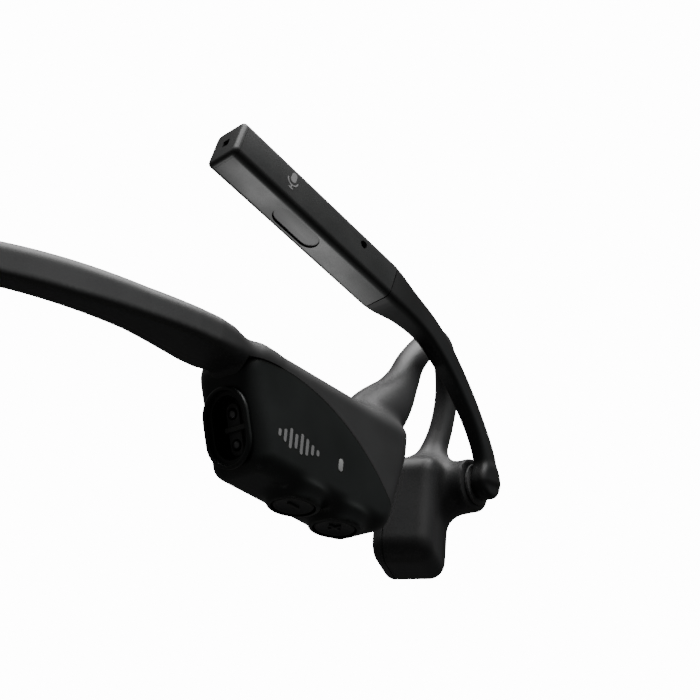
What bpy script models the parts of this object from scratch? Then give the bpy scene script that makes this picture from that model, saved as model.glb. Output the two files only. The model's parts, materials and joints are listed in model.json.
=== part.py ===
"""Bone conduction headphones with a microphone boom, as separate solids.

The wearer faces -Y, the wearer's right is -X and +Z is up. The origin is under the middle of the
whole headset, on the surface that the pods stand on. Lengths below are in millimetres; they become
metres when a mesh is made.

Most places are written as (out, forward, height): out is the distance past the outer face of the
pods, away from the head; forward is towards the wearer's face; height is above the pods' middle.
"""

import math

import bmesh
import bpy
from mathutils import Matrix, Vector

MM = 0.001
RIGHT, LEFT = -1, 1
SIDE_NAMES = {RIGHT: "right", LEFT: "left"}

# Whole headset
HALF_WIDTH = 69.0        # midline to the outer face of a pod
BASE_HEIGHT = 10.1       # the pods' middle above the surface they stand on
FORWARD_MIDDLE = -13.3   # forward place of the origin
GAP = 0.3                # between pieces that touch

# Pods, behind the ears
POD_TOE_OUT = math.radians(5.0)
POD_THICKNESS = 11.5
POD_TOP, POD_BOTTOM = 11.4, -8.8
POD_EDGE = 1.5           # rounding of the long edges
SKIN_WALL, SHELL_WALL, FRAME_WALL = 1.0, 1.2, 0.8
LID_WALL = 1.1
# Side outline: forward, height, corner radius
POD_CORNERS = (
    (-19.1, POD_TOP, 2.2),
    (-11.6, POD_BOTTOM, 2.6),
    (18.2, POD_BOTTOM, 5.0),
    (22.1, 6.0, 8.0),
    (22.1, POD_TOP, 2.2),
)
# Seam between the soft skin above and the hard shell below, as Bezier handles
SEAM_HANDLES = ((-19.5, 6.0), (-7.0, 11.0), (10.5, 6.5), (20.5, -7.0))

# Volume buttons, under the right pod
VOLUME_BUTTONS = {"volume_down": 0.2, "volume_up": 9.9}   # forward place of each
VOLUME_OUT = -4.6
VOLUME_RADIUS = 3.2
COLLAR_HOLE, COLLAR_TOP, COLLAR_FOOT = 3.5, 4.1, 5.0

# Charging port, on the right pod's slanted rear wall
PORT_CENTRE = Vector((-5.6, -13.98, -2.4))
PORT_SLANT = math.atan2(7.5, 20.2)
PORT_WIDTH, PORT_HEIGHT = 9.0, 12.6
PORT_LIP = 1.0
PORT_RAISED = 0.9
PORT_DEPTH = 2.6
CONTACT_SPREAD = 2.4
CONTACT_RADIUS = 0.8

# Status light on the right pod's outer face
LIGHT_PLACE = (5.2, -2.1)
LIGHT_WIDTH, LIGHT_HEIGHT = 1.0, 2.1

# Headband
BAND_START = (-5.75, -20.4, 8.0)
BAND_REACH = 35.0        # how far the band keeps the pods' heading
BAND_BACK = -77.0
BAND_BACK_HANDLE = 41.0
BAND_DROOP = 1.6
BAND_HALF_HEIGHT, BAND_HALF_DEPTH = 3.0, 2.5
BAND_BORE = 1.4
WIRE_RADIUS, CABLE_RADIUS = 0.55, 0.35

# Ear hooks: out, forward, height, half width in the hook's plane, half width across
HOOK_STATIONS = (
    (-5.0, 18.0, 11.9, 4.2, 3.8),
    (-4.6, 19.8, 15.6, 4.2, 3.7),
    (-4.6, 22.8, 18.8, 3.7, 3.3),
    (-5.3, 27.2, 23.6, 3.0, 2.8),
    (-6.3, 31.3, 29.4, 2.5, 2.5),
    (-7.0, 36.4, 35.3, 2.3, 2.3),
    (-8.0, 41.4, 38.7, 2.2, 2.2),
    (-8.9, 45.7, 36.9, 2.0, 2.1),
    (-9.7, 47.8, 31.0, 1.9, 2.1),
    (-10.6, 47.9, 24.5, 2.0, 2.2),
    (-11.6, 46.9, 19.2, 2.4, 2.6),
    (-12.2, 46.0, 16.7, 3.4, 3.2),
)
HOOK_BORE = 0.9

# Transducers, on the cheekbones
TRANSDUCER_PLACE = (-12.7, 44.2, 6.55)
TRANSDUCER_YAW = math.radians(-20.0)
TRANSDUCER_THICK, TRANSDUCER_WIDE, TRANSDUCER_TALL = 10.5, 14.0, 19.5
TRANSDUCER_CORNER = 3.6
PAD_THICK = 2.05
HOUSING_WALL = 1.2
YOKE_RADIUS, YOKE_WALL = 4.9, 0.7
YOKE_BACK, YOKE_FRONT = 2.9, -0.4
MAGNET_RADIUS = 2.7
COIL_INNER, COIL_OUTER = 3.05, 3.85
SPRING_PLATE_RADIUS = 5.3
MULTI_BUTTON_RADIUS = 3.6

# Microphone boom, on the right transducer; its pivot runs along X
PIVOT = (-1.1, 49.1, 13.1)
BOSS_RADIUS, BOSS_FACE = 4.7, -3.3
PIN_RADIUS, PIN_CLEARANCE = 1.2, 0.08
WASHER_THICK, WASHER_RADIUS = 0.4, 3.6
ARM_HALF_THICK, HUB_RADIUS = 1.4, 3.0
ARM_BORE = 0.7
# out, forward, height, half width in plane, half width across, squareness
ARM_STATIONS = (
    (-1.1, 49.1, 13.1, 2.4, 1.4, 3.0),
    (-1.1, 48.2, 17.1, 2.1, 1.4, 3.0),
    (-1.1, 44.8, 21.6, 1.9, 1.4, 3.0),
    (-1.1, 39.8, 26.6, 1.9, 1.4, 3.0),
    (-1.1, 33.6, 30.8, 1.95, 1.5, 3.2),
    (-1.2, 27.8, 33.3, 2.1, 1.7, 3.6),
    (-1.6, 21.6, 34.2, 2.7, 2.3, 4.4),
    (-2.2, 15.5, 35.1, 3.45, 3.15, 6.0),
)
WAND_ROOT = Vector((-2.28, 15.3, 35.2))
WAND_TIP = Vector((-9.42, -19.4, 45.45))
WAND_OUTWARD = Vector((0.981, -0.182, 0.071))
WAND_WIDE, WAND_TALL, WAND_CORNER, WAND_WALL = 6.4, 7.0, 1.2, 1.0
WAND_FLARE = 0.065       # share by which the wand is larger at its tip
END_CAP = 1.0
MUTE_FROM_TIP, MUTE_LENGTH, MUTE_WIDTH = 17.0, 9.3, 3.2
MUTE_SUNK = 0.25
SECOND_MIC_FROM_TIP = 28.3
MIC_HOLE = 0.5

ARC_STEPS = 4
ROUND_SIDES = 24


def clear_scene():
    """Empties the file, so that only the headset is in it."""
    for old in list(bpy.data.objects):
        bpy.data.objects.remove(old)


def material(name, colour, roughness, metallic=0.0):
    """A Principled BSDF material of one colour."""
    made = bpy.data.materials.new(name)
    made.use_nodes = True
    shader = made.node_tree.nodes["Principled BSDF"]
    shader.inputs["Base Color"].default_value = (*colour, 1.0)
    shader.inputs["Roughness"].default_value = roughness
    shader.inputs["Metallic"].default_value = metallic
    made.diffuse_color = (*colour, 1.0)
    return made


# ---- places -------------------------------------------------------------------------------------


def world(side, out, forward, height):
    """The world point, in millimetres, of a place on one side of the head."""
    return Vector((side * (HALF_WIDTH + out), FORWARD_MIDDLE - forward, BASE_HEIGHT + height))


def local_frame(side, place, yaw):
    """Matrix from local (out, forward, up) axes, turned by yaw about the vertical, to the world."""
    c, s = math.cos(yaw), math.sin(yaw)
    origin = world(side, *place)
    return Matrix((
        (side * c, side * s, 0.0, origin.x),
        (s, -c, 0.0, origin.y),
        (0.0, 0.0, 1.0, origin.z),
        (0.0, 0.0, 0.0, 1.0),
    ))


def pod_frame(side):
    return local_frame(side, (0.0, 0.0, 0.0), POD_TOE_OUT)


def transducer_frame(side):
    return local_frame(side, TRANSDUCER_PLACE, TRANSDUCER_YAW)


def port_frame():
    """Local axes of the charging port: across, up along the rear wall, out of the wall."""
    c, s = math.cos(PORT_SLANT), math.sin(PORT_SLANT)
    tilted = Matrix((
        (1.0, 0.0, 0.0, PORT_CENTRE.x),
        (0.0, -s, -c, PORT_CENTRE.y),
        (0.0, c, -s, PORT_CENTRE.z),
        (0.0, 0.0, 0.0, 1.0),
    ))
    return pod_frame(RIGHT) @ tilted


def wand_frame():
    """Local axes of the microphone wand: out of its outward face, up, from its tip to its root."""
    tip, root = world(RIGHT, *WAND_TIP), world(RIGHT, *WAND_ROOT)
    along = (root - tip).normalized()
    outward = Vector((-WAND_OUTWARD.x, -WAND_OUTWARD.y, WAND_OUTWARD.z))
    outward = (outward - outward.dot(along) * along).normalized()
    up = along.cross(outward)
    if up.z < 0:
        up = -up
    turned = Matrix((outward, up, along)).transposed().to_4x4()
    turned.translation = tip
    return turned


# ---- solids -------------------------------------------------------------------------------------


def add_solid(name, bm, frame, finish, origin=None):
    """Makes one object from a mesh in local millimetres; origin is its own origin in the world."""
    bmesh.ops.transform(bm, matrix=frame, verts=bm.verts)
    bmesh.ops.recalc_face_normals(bm, faces=bm.faces)
    origin = Vector(origin) if origin is not None else Vector((0.0, 0.0, 0.0))
    bmesh.ops.translate(bm, vec=-origin, verts=bm.verts)
    bmesh.ops.scale(bm, vec=(MM, MM, MM), verts=bm.verts)
    mesh = bpy.data.meshes.new(name)
    bm.to_mesh(mesh)
    bm.free()
    mesh.shade_smooth()
    mesh.set_sharp_from_angle(angle=math.radians(35.0))
    made = bpy.data.objects.new(name, mesh)
    made.location = origin * MM
    bpy.context.scene.collection.objects.link(made)
    if finish is not None:
        mesh.materials.append(finish)
    return made


def add_cutter(name, bm, frame):
    """A hidden solid for a Boolean."""
    made = add_solid(name, bm, frame, None)
    made.hide_render = True
    made.display_type = "WIRE"
    return made


def boolean(target, other, operation="DIFFERENCE"):
    step = target.modifiers.new(other.name, "BOOLEAN")
    step.operation = operation
    step.solver = "EXACT"
    step.object = other


def rounded_outline(corners):
    """Points of a polygon whose corners (x, y, radius) are rounded by arcs."""
    points = []
    count = len(corners)
    for i, (x, y, radius) in enumerate(corners):
        here = Vector((x, y))
        before = Vector(corners[i - 1][:2]) - here
        after = Vector(corners[(i + 1) % count][:2]) - here
        before.normalize()
        after.normalize()
        half = before.angle(after) / 2
        centre = here + (before + after).normalized() * (radius / math.sin(half))
        reach = radius / math.tan(half)
        start = here + before * reach - centre
        end = here + after * reach - centre
        turn = start.angle(end)
        for k in range(ARC_STEPS + 1):
            share = k / ARC_STEPS
            spread = start * math.sin((1 - share) * turn) + end * math.sin(share * turn)
            points.append(centre + spread / math.sin(turn))
    return points


def inset_corners(corners, distance):
    """The polygon's corners with every edge moved inwards; a negative distance moves them out."""
    area = sum(
        corners[i - 1][0] * corners[i][1] - corners[i][0] * corners[i - 1][1]
        for i in range(len(corners))
    )
    inwards = 1.0 if area > 0 else -1.0
    lines = []
    for i, corner in enumerate(corners):
        start = Vector(corners[i - 1][:2])
        along = (Vector(corner[:2]) - start).normalized()
        normal = Vector((-along.y, along.x)) * inwards
        lines.append((start + normal * distance, along))
    moved = []
    for i, corner in enumerate(corners):
        (p, d), (q, e) = lines[i], lines[(i + 1) % len(corners)]
        share = (q - p).cross(e) / d.cross(e)
        spot = p + d * share
        moved.append((spot.x, spot.y, max(corner[2] - distance, 0.4)))
    return moved


def rectangle(width, height, radius, x=0.0, y=0.0):
    """Corners of a rectangle about (x, y)."""
    w, h = width / 2, height / 2
    return (
        (x - w, y - h, radius),
        (x + w, y - h, radius),
        (x + w, y + h, radius),
        (x - w, y + h, radius),
    )


def oblong(width, height, x=0.0, y=0.0):
    """Corners of a shape with fully round ends."""
    return rectangle(width, height, min(width, height) / 2 - 0.001, x, y)


def circle(radius, x=0.0, y=0.0, sides=ROUND_SIDES):
    return [
        Vector((x + radius * math.cos(a), y + radius * math.sin(a)))
        for a in (2 * math.pi * k / sides for k in range(sides))
    ]


AXES = {
    "out": lambda p, d: (d, p.x, p.y),
    "forward": lambda p, d: (p.x, d, p.y),
    "up": lambda p, d: (p.x, p.y, d),
}


def prism(outline, low, high, along="out", low_edge=0.0, high_edge=0.0, steps=3):
    """An outline pushed along an axis, with rounded edges at either end."""
    put = AXES[along]
    bm = bmesh.new()
    rings = [[bm.verts.new(put(p, d)) for p in outline] for d in (low, high)]
    count = len(outline)
    caps = [bm.faces.new(ring) for ring in rings]
    for i in range(count):
        j = (i + 1) % count
        bm.faces.new((rings[0][i], rings[0][j], rings[1][j], rings[1][i]))
    bmesh.ops.recalc_face_normals(bm, faces=bm.faces)
    for cap, edge in zip(caps, (low_edge, high_edge)):
        if edge > 0:
            bmesh.ops.bevel(
                bm,
                geom=list(cap.edges),
                offset=edge,
                segments=steps,
                profile=0.5,
                affect="EDGES",
                clamp_overlap=True,
            )
    return bm


def box(u, v, w):
    """A plain block between two limits on each axis."""
    corners = [Vector((v[0], w[0])), Vector((v[1], w[0])), Vector((v[1], w[1])), Vector((v[0], w[1]))]
    return prism(corners, u[0], u[1])


def ring_points(centre, ahead, across, sizes, sides):
    """One cross-section of a tube: half width in plane, half width across and squareness."""
    in_plane, sideways, squareness = sizes
    across = (across - across.dot(ahead) * ahead).normalized()
    normal = ahead.cross(across)
    points = []
    for k in range(sides):
        angle = 2 * math.pi * (k + 0.5) / sides
        c, s = math.cos(angle), math.sin(angle)
        x = math.copysign(abs(c) ** (2 / squareness), c) * in_plane
        y = math.copysign(abs(s) ** (2 / squareness), s) * sideways
        points.append(centre + normal * x + across * y)
    return points


def smooth_stations(stations, steps):
    """More stations along a Catmull-Rom curve through the given ones."""
    rows = [Vector(s) for s in stations]
    rows = [2 * rows[0] - rows[1], *rows, 2 * rows[-1] - rows[-2]]
    made = []
    for i in range(1, len(rows) - 2):
        a, b, c, d = rows[i - 1 : i + 3]
        slope = c - a
        bend = 2 * a - 5 * b + 4 * c - d
        twist = 3 * b - a - 3 * c + d
        for k in range(steps):
            t = k / steps
            made.append(0.5 * (2 * b + slope * t + bend * t**2 + twist * t**3))
    made.append(rows[-2])
    return made


def tube(path, sizes, across, bore=0.0, sides=12, start=None, end=None):
    """A solid along a path, with a hole down its middle if bore is given."""
    bm = bmesh.new()
    outer, inner = [], []
    last = len(path) - 1
    for i, centre in enumerate(path):
        ahead = (path[min(i + 1, last)] - path[max(i - 1, 0)]).normalized()
        if i == 0 and start is not None:
            ahead = start
        if i == last and end is not None:
            ahead = end
        outer.append([bm.verts.new(p) for p in ring_points(centre, ahead, across, sizes[i], sides)])
        if bore:
            hole = ring_points(centre, ahead, across, (bore, bore, 2.0), sides)
            inner.append([bm.verts.new(p) for p in hole])
    for rings in (outer, inner):
        for a, b in zip(rings, rings[1:]):
            for k in range(sides):
                j = (k + 1) % sides
                bm.faces.new((a[k], a[j], b[j], b[k]))
    for i in (0, last):
        if not bore:
            bm.faces.new(outer[i])
            continue
        for k in range(sides):
            j = (k + 1) % sides
            bm.faces.new((outer[i][k], outer[i][j], inner[i][j], inner[i][k]))
    return bm


# ---- finishes -----------------------------------------------------------------------------------


def make_finishes():
    return {
        "silicone": material("silicone", (0.045, 0.045, 0.047), 0.55),
        "hard_black": material("hard_black", (0.022, 0.025, 0.024), 0.38),
        "button_black": material("button_black", (0.03, 0.03, 0.03), 0.45),
        "mute_grey": material("mute_grey", (0.16, 0.16, 0.165), 0.5),
        "light_window": material("light_window", (0.45, 0.46, 0.47), 0.3),
        "spring_steel": material("spring_steel", (0.55, 0.54, 0.52), 0.3, 1.0),
        "magnet": material("magnet", (0.6, 0.6, 0.62), 0.25, 1.0),
        "copper": material("copper", (0.72, 0.4, 0.25), 0.35, 1.0),
        "contact": material("contact", (0.12, 0.12, 0.12), 0.3, 1.0),
        "board_green": material("board_green", (0.03, 0.16, 0.08), 0.5),
        "module_metal": material("module_metal", (0.7, 0.7, 0.7), 0.35, 1.0),
        "battery_wrap": material("battery_wrap", (0.5, 0.52, 0.55), 0.4),
        "cable_jacket": material("cable_jacket", (0.1, 0.1, 0.1), 0.6),
        "mesh_black": material("mesh_black", (0.02, 0.02, 0.02), 0.8),
    }


# ---- pods ---------------------------------------------------------------------------------------


def seam_outline(shift, edge):
    """Outline of all that lies between the seam, moved down by shift, and a far edge."""
    a, b, c, d = (Vector(h) for h in SEAM_HANDLES)
    points = []
    steps = 14
    for k in range(steps + 1):
        t = k / steps
        spot = a * (1 - t) ** 3 + b * 3 * (1 - t) ** 2 * t + c * 3 * (1 - t) * t**2 + d * t**3
        points.append(spot - Vector((0.0, shift)))
    beyond = 30.0
    points.insert(0, Vector((-beyond, points[0].y)))
    points.append(Vector((beyond, points[-1].y - (beyond - points[-1].x))))
    points.append(Vector((beyond, edge)))
    points.append(Vector((-beyond, edge)))
    return points


def pod_block(inset, low, high, edge=0.0):
    """The pod's outline, inset and pushed from low to high, edges rounded."""
    outline = rounded_outline(inset_corners(POD_CORNERS, inset))
    return prism(outline, low, high, "out", edge, edge)


def build_pod(side, finishes):
    """Hard shell and lid below the seam, soft skin and its inner frame above it."""
    name = SIDE_NAMES[side]
    frame = pod_frame(side)
    through = (-2 * POD_THICKNESS, POD_THICKNESS)
    above = add_cutter(f"{name}_above_seam", prism(seam_outline(GAP, 30.0), *through), frame)
    below = add_cutter(f"{name}_below_seam", prism(seam_outline(0.0, -30.0), *through), frame)
    lid_top = -POD_THICKNESS + LID_WALL

    shell = add_solid(
        f"{name}_pod_shell",
        pod_block(0.0, -POD_THICKNESS, 0.0, POD_EDGE),
        frame,
        finishes["hard_black"],
    )
    boolean(shell, above)
    beyond = 40.0
    lid_side = box((-beyond, lid_top + GAP), (-beyond, beyond), (-beyond, beyond))
    boolean(shell, add_cutter(f"{name}_lid_side", lid_side, frame))
    hollow = pod_block(SHELL_WALL, -POD_THICKNESS - 1, -SHELL_WALL)
    boolean(shell, add_cutter(f"{name}_shell_hollow", hollow, frame))

    lid = add_solid(
        f"{name}_pod_lid",
        pod_block(0.0, -POD_THICKNESS, 0.0, POD_EDGE),
        frame,
        finishes["hard_black"],
    )
    boolean(lid, above)
    shell_side = box((lid_top, beyond), (-beyond, beyond), (-beyond, beyond))
    boolean(lid, add_cutter(f"{name}_shell_side", shell_side, frame))

    skin = add_solid(
        f"{name}_pod_skin",
        pod_block(0.0, -POD_THICKNESS, 0.0, POD_EDGE),
        frame,
        finishes["silicone"],
    )
    boolean(skin, below)
    under_skin = pod_block(SKIN_WALL, -POD_THICKNESS + SKIN_WALL, -SKIN_WALL)
    boolean(skin, add_cutter(f"{name}_under_skin", under_skin, frame))

    stay = SKIN_WALL + GAP
    inner = add_solid(
        f"{name}_pod_frame",
        pod_block(stay, -POD_THICKNESS + stay, -stay),
        frame,
        finishes["hard_black"],
    )
    boolean(inner, below)
    wall = stay + FRAME_WALL
    hollow = pod_block(wall, -POD_THICKNESS + wall, -wall)
    boolean(inner, add_cutter(f"{name}_frame_hollow", hollow, frame))
    return shell


def build_volume_buttons(shell, finishes):
    """Two round buttons in raised collars, each over its own switch on one small board."""
    frame = pod_frame(RIGHT)
    board_low = POD_BOTTOM + 4.9
    for name, forward in VOLUME_BUTTONS.items():
        collar = cone_frustum(
            (VOLUME_OUT, forward), COLLAR_TOP, -BASE_HEIGHT, COLLAR_FOOT, POD_BOTTOM + 0.4
        )
        boolean(shell, add_cutter(f"{name}_collar", collar, frame), "UNION")
        hole = prism(circle(COLLAR_HOLE, VOLUME_OUT, forward), -BASE_HEIGHT - 2, POD_BOTTOM + 3, "up")
        boolean(shell, add_cutter(f"{name}_hole", hole, frame))

        face = -BASE_HEIGHT + 0.15
        button = prism(
            circle(VOLUME_RADIUS, VOLUME_OUT, forward), face, face + 1.9, "up", low_edge=0.35, steps=2
        )
        middle = frame @ Vector((VOLUME_OUT, forward, face))
        made = add_solid(f"{name}_button", button, frame, finishes["button_black"], middle)
        stem = prism(circle(1.0, VOLUME_OUT, forward, 12), face + 1.5, face + 2.6, "up")
        boolean(made, add_cutter(f"{name}_stem", stem, frame), "UNION")
        switch_low = face + 3.1
        switch = prism(
            rounded_outline(rectangle(3.0, 3.0, 0.3, VOLUME_OUT, forward)),
            switch_low,
            board_low - GAP,
            "up",
        )
        add_solid(f"{name}_switch", switch, frame, finishes["module_metal"])
    middle = sum(VOLUME_BUTTONS.values()) / len(VOLUME_BUTTONS)
    board = prism(
        rounded_outline(rectangle(4.0, 15.0, 0.5, VOLUME_OUT, middle)), board_low, board_low + 0.5, "up"
    )
    add_solid("button_board", board, frame, finishes["board_green"])


def cone_frustum(place, low_radius, low, high_radius, high):
    """A short cone about the vertical through place."""
    bm = bmesh.new()
    rings = []
    for radius, height in ((low_radius, low), (high_radius, high)):
        points = circle(radius, *place)
        rings.append([bm.verts.new((p.x, p.y, height)) for p in points])
    for ring in rings:
        bm.faces.new(ring)
    for k in range(ROUND_SIDES):
        j = (k + 1) % ROUND_SIDES
        bm.faces.new((rings[0][k], rings[0][j], rings[1][j], rings[1][k]))
    return bm


def build_charging_port(shell, finishes):
    """A raised oblong rim in the rear wall, with two sprung contacts in front of a magnet."""
    frame = port_frame()
    inner_width = PORT_WIDTH - 2 * PORT_LIP
    inner_height = PORT_HEIGHT - 2 * PORT_LIP
    hole = prism(
        rounded_outline(oblong(inner_width + 2 * GAP, inner_height + 2 * GAP)), -6.0, 4.0, "up"
    )
    boolean(shell, add_cutter("port_hole", hole, frame))

    rim = prism(rounded_outline(oblong(PORT_WIDTH, PORT_HEIGHT)), GAP, PORT_RAISED, "up", 0.0, 0.2, 2)
    bezel = add_solid("charge_port_bezel", rim, frame, finishes["hard_black"])
    sleeve = prism(rounded_outline(oblong(inner_width, inner_height)), -PORT_DEPTH, PORT_RAISED - 0.2, "up")
    boolean(bezel, add_cutter("port_sleeve", sleeve, frame), "UNION")
    wall = 0.4
    recess = prism(
        rounded_outline(oblong(inner_width - 2 * wall, inner_height - 2 * wall)), -5.0, 3.0, "up"
    )
    boolean(bezel, add_cutter("port_recess", recess, frame))

    floor_top = -PORT_DEPTH - GAP
    floor = prism(
        rounded_outline(oblong(inner_width, inner_height)), floor_top - 1.2, floor_top, "up"
    )
    block = add_solid("charge_port_block", floor, frame, finishes["hard_black"])
    rib = prism(rounded_outline(rectangle(5.4, 0.8, 0.2)), floor_top - 0.5, floor_top + 1.2, "up")
    boolean(block, add_cutter("port_rib", rib, frame), "UNION")
    for name, up in (("upper", CONTACT_SPREAD), ("lower", -CONTACT_SPREAD)):
        hole = prism(circle(CONTACT_RADIUS + 0.2, 0.0, up, 16), -8.0, 2.0, "up")
        boolean(block, add_cutter(f"port_{name}_hole", hole, frame))
        pin = prism(
            circle(CONTACT_RADIUS, 0.0, up, 16), floor_top - 1.0, floor_top + 1.0, "up", 0.0, 0.4, 2
        )
        add_solid(f"charge_contact_{name}", pin, frame, finishes["contact"])
    magnet = prism(rounded_outline(rectangle(4.6, 5.0, 0.4)), floor_top - 3.2, floor_top - 1.6, "up")
    add_solid("charge_magnet", magnet, frame, finishes["magnet"])


def build_right_electronics(shell, finishes):
    """Controller board, radio module and status light behind the right pod's outer wall."""
    frame = pod_frame(RIGHT)
    board = box((-5.8, -5.0), (-6.0, 16.0), (-2.9, 6.0))
    add_solid("controller_board", board, frame, finishes["board_green"])
    module = prism(
        rounded_outline(rectangle(7.0, 5.5, 0.4, 11.0, 2.4)), -5.0 + GAP, -3.2, "out", 0.0, 0.2, 1
    )
    add_solid("bluetooth_module", module, frame, finishes["module_metal"])
    chip = box((-5.0 + GAP, -4.0), (LIGHT_PLACE[0] - 0.7, LIGHT_PLACE[0] + 0.7), (-2.8, -1.4))
    add_solid("status_led", chip, frame, finishes["light_window"])
    slot = oblong(LIGHT_WIDTH + 0.3, LIGHT_HEIGHT + 0.3, *LIGHT_PLACE)
    hole = prism(rounded_outline(slot), -3.0, 2.0, "out")
    boolean(shell, add_cutter("light_hole", hole, frame))
    window = prism(rounded_outline(oblong(LIGHT_WIDTH, LIGHT_HEIGHT, *LIGHT_PLACE)), -1.6, 0.0, "out")
    add_solid("status_light_window", window, frame, finishes["light_window"])


def build_battery(finishes):
    """Flat cell and its protection board in the left pod."""
    frame = pod_frame(LEFT)
    cell = prism(rounded_outline(rectangle(23.0, 11.0, 1.0, 3.5, 1.0)), -9.0, -4.6, "out", 0.6, 0.6, 2)
    add_solid("battery", cell, frame, finishes["battery_wrap"])
    board = box((-4.0, -3.3), (-3.0, 9.0), (-3.0, 4.5))
    add_solid("battery_protection_board", board, frame, finishes["board_green"])


# ---- headband and hooks -------------------------------------------------------------------------


def band_path(offset, half_steps=13):
    """Points from the right pod, round the back of the head, to the left pod."""
    out, forward, height = BAND_START
    start = Vector((HALF_WIDTH + out, forward))
    lead = start - Vector((math.sin(POD_TOE_OUT), math.cos(POD_TOE_OUT))) * BAND_REACH
    handles = (start, lead, Vector((BAND_BACK_HANDLE, BAND_BACK)), Vector((0.0, BAND_BACK)))
    half = []
    for k in range(half_steps + 1):
        t = k / half_steps
        weights = ((1 - t) ** 3, 3 * (1 - t) ** 2 * t, 3 * (1 - t) * t**2, t**3)
        spot = sum((h * w for h, w in zip(handles, weights)), Vector((0.0, 0.0)))
        half.append((spot.x, spot.y, height - BAND_DROOP * t + offset))
    right = [Vector((-x, FORWARD_MIDDLE - y, BASE_HEIGHT + z)) for x, y, z in half]
    left = [Vector((-p.x, p.y, p.z)) for p in reversed(right[:-1])]
    return right + left


def build_band(finishes):
    """Soft sleeve around a springy wire and a signal cable."""
    up = Vector((0.0, 0.0, 1.0))
    path = band_path(0.0)
    sizes = [(BAND_HALF_DEPTH, BAND_HALF_HEIGHT, 2.6)] * len(path)
    heading = path[1] - path[0]
    heading = Vector((heading.x, heading.y, 0.0)).normalized()
    away = Vector((heading.x, -heading.y, 0.0))
    sleeve = tube(path, sizes, up, BAND_BORE, 12, heading, away)
    nowhere = Matrix.Identity(4)
    add_solid("band_sleeve", sleeve, nowhere, finishes["silicone"])
    for name, radius, offset, finish in (
        ("band_core_wire", WIRE_RADIUS, 0.35, "spring_steel"),
        ("band_signal_cable", CABLE_RADIUS, -0.75, "cable_jacket"),
    ):
        path = band_path(offset)
        sizes = [(radius, radius, 2.0)] * len(path)
        add_solid(name, tube(path, sizes, up, 0.0, 8), nowhere, finishes[finish])


def build_hook(side, finishes):
    """Soft ear hook around its own wire, from the top of a pod to the top of a transducer."""
    name = SIDE_NAMES[side]
    stations = smooth_stations(HOOK_STATIONS, 2)
    path = [world(side, *s[:3]) for s in stations]
    sizes = [(s[3], s[4], 2.3) for s in stations]
    across = Vector((1.0, 0.0, 0.0))
    up = Vector((0.0, 0.0, 1.0))
    nowhere = Matrix.Identity(4)
    sleeve = tube(path, sizes, across, HOOK_BORE, 12, up, -up)
    add_solid(f"{name}_hook_sleeve", sleeve, nowhere, finishes["silicone"])
    sizes = [(WIRE_RADIUS, WIRE_RADIUS, 2.0)] * len(path)
    wire = tube(path, sizes, across, 0.0, 8, up, -up)
    add_solid(f"{name}_hook_wire", wire, nowhere, finishes["spring_steel"])


# ---- transducers --------------------------------------------------------------------------------


def build_transducer(side, finishes):
    """Vibration motor in a rounded housing, closed by a soft pad that rests on the cheekbone."""
    name = SIDE_NAMES[side]
    frame = transducer_frame(side)
    outer = TRANSDUCER_THICK / 2
    joint = -outer + PAD_THICK
    body = rectangle(TRANSDUCER_WIDE, TRANSDUCER_TALL, TRANSDUCER_CORNER)
    housing = add_solid(
        f"{name}_transducer_housing",
        prism(rounded_outline(body), joint + GAP, outer, "out", 0.0, 2.2),
        frame,
        finishes["silicone"],
    )
    hollow = prism(rounded_outline(inset_corners(body, HOUSING_WALL)), -outer - 1, outer - HOUSING_WALL)
    boolean(housing, add_cutter(f"{name}_housing_hollow", hollow, frame))
    pad = prism(rounded_outline(body), -outer, joint, "out", 1.4, 0.0)
    add_solid(f"{name}_cheek_pad", pad, frame, finishes["silicone"])

    yoke = add_solid(
        f"{name}_yoke",
        prism(circle(YOKE_RADIUS), YOKE_FRONT, YOKE_BACK),
        frame,
        finishes["spring_steel"],
    )
    cup_floor = YOKE_BACK - YOKE_WALL
    cup = prism(circle(YOKE_RADIUS - YOKE_WALL), YOKE_FRONT - 1, cup_floor)
    boolean(yoke, add_cutter(f"{name}_yoke_cup", cup, frame))
    magnet = prism(circle(MAGNET_RADIUS), YOKE_FRONT + 0.3, cup_floor - GAP)
    add_solid(f"{name}_magnet", magnet, frame, finishes["magnet"])
    coil = add_solid(
        f"{name}_voice_coil",
        prism(circle(COIL_OUTER), YOKE_FRONT - 0.8, cup_floor - 0.6),
        frame,
        finishes["copper"],
    )
    middle = prism(circle(COIL_INNER), YOKE_FRONT - 2, cup_floor + 2)
    boolean(coil, add_cutter(f"{name}_coil_middle", middle, frame))
    plate_face = YOKE_FRONT - 0.8 - GAP
    plate = prism(circle(SPRING_PLATE_RADIUS), plate_face - 0.5, plate_face)
    add_solid(f"{name}_spring_plate", plate, frame, finishes["spring_steel"])
    return housing


def build_multifunction_button(housing, finishes):
    """Round button in the outer wall of the left transducer, over a thin dome switch."""
    frame = transducer_frame(LEFT)
    outer = TRANSDUCER_THICK / 2
    hole = prism(circle(MULTI_BUTTON_RADIUS + GAP), outer - 3, outer + 1)
    boolean(housing, add_cutter("multifunction_hole", hole, frame))
    button = prism(circle(MULTI_BUTTON_RADIUS), outer - 0.95, outer - 0.1, "out", 0.0, 0.3, 2)
    middle = frame @ Vector((outer - 0.1, 0.0, 0.0))
    add_solid("multifunction_button", button, frame, finishes["button_black"], middle)
    switch = prism(circle(2.0, sides=16), YOKE_BACK + GAP, outer - 1.65)
    add_solid("multifunction_switch", switch, frame, finishes["module_metal"])


# ---- microphone boom ----------------------------------------------------------------------------


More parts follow.
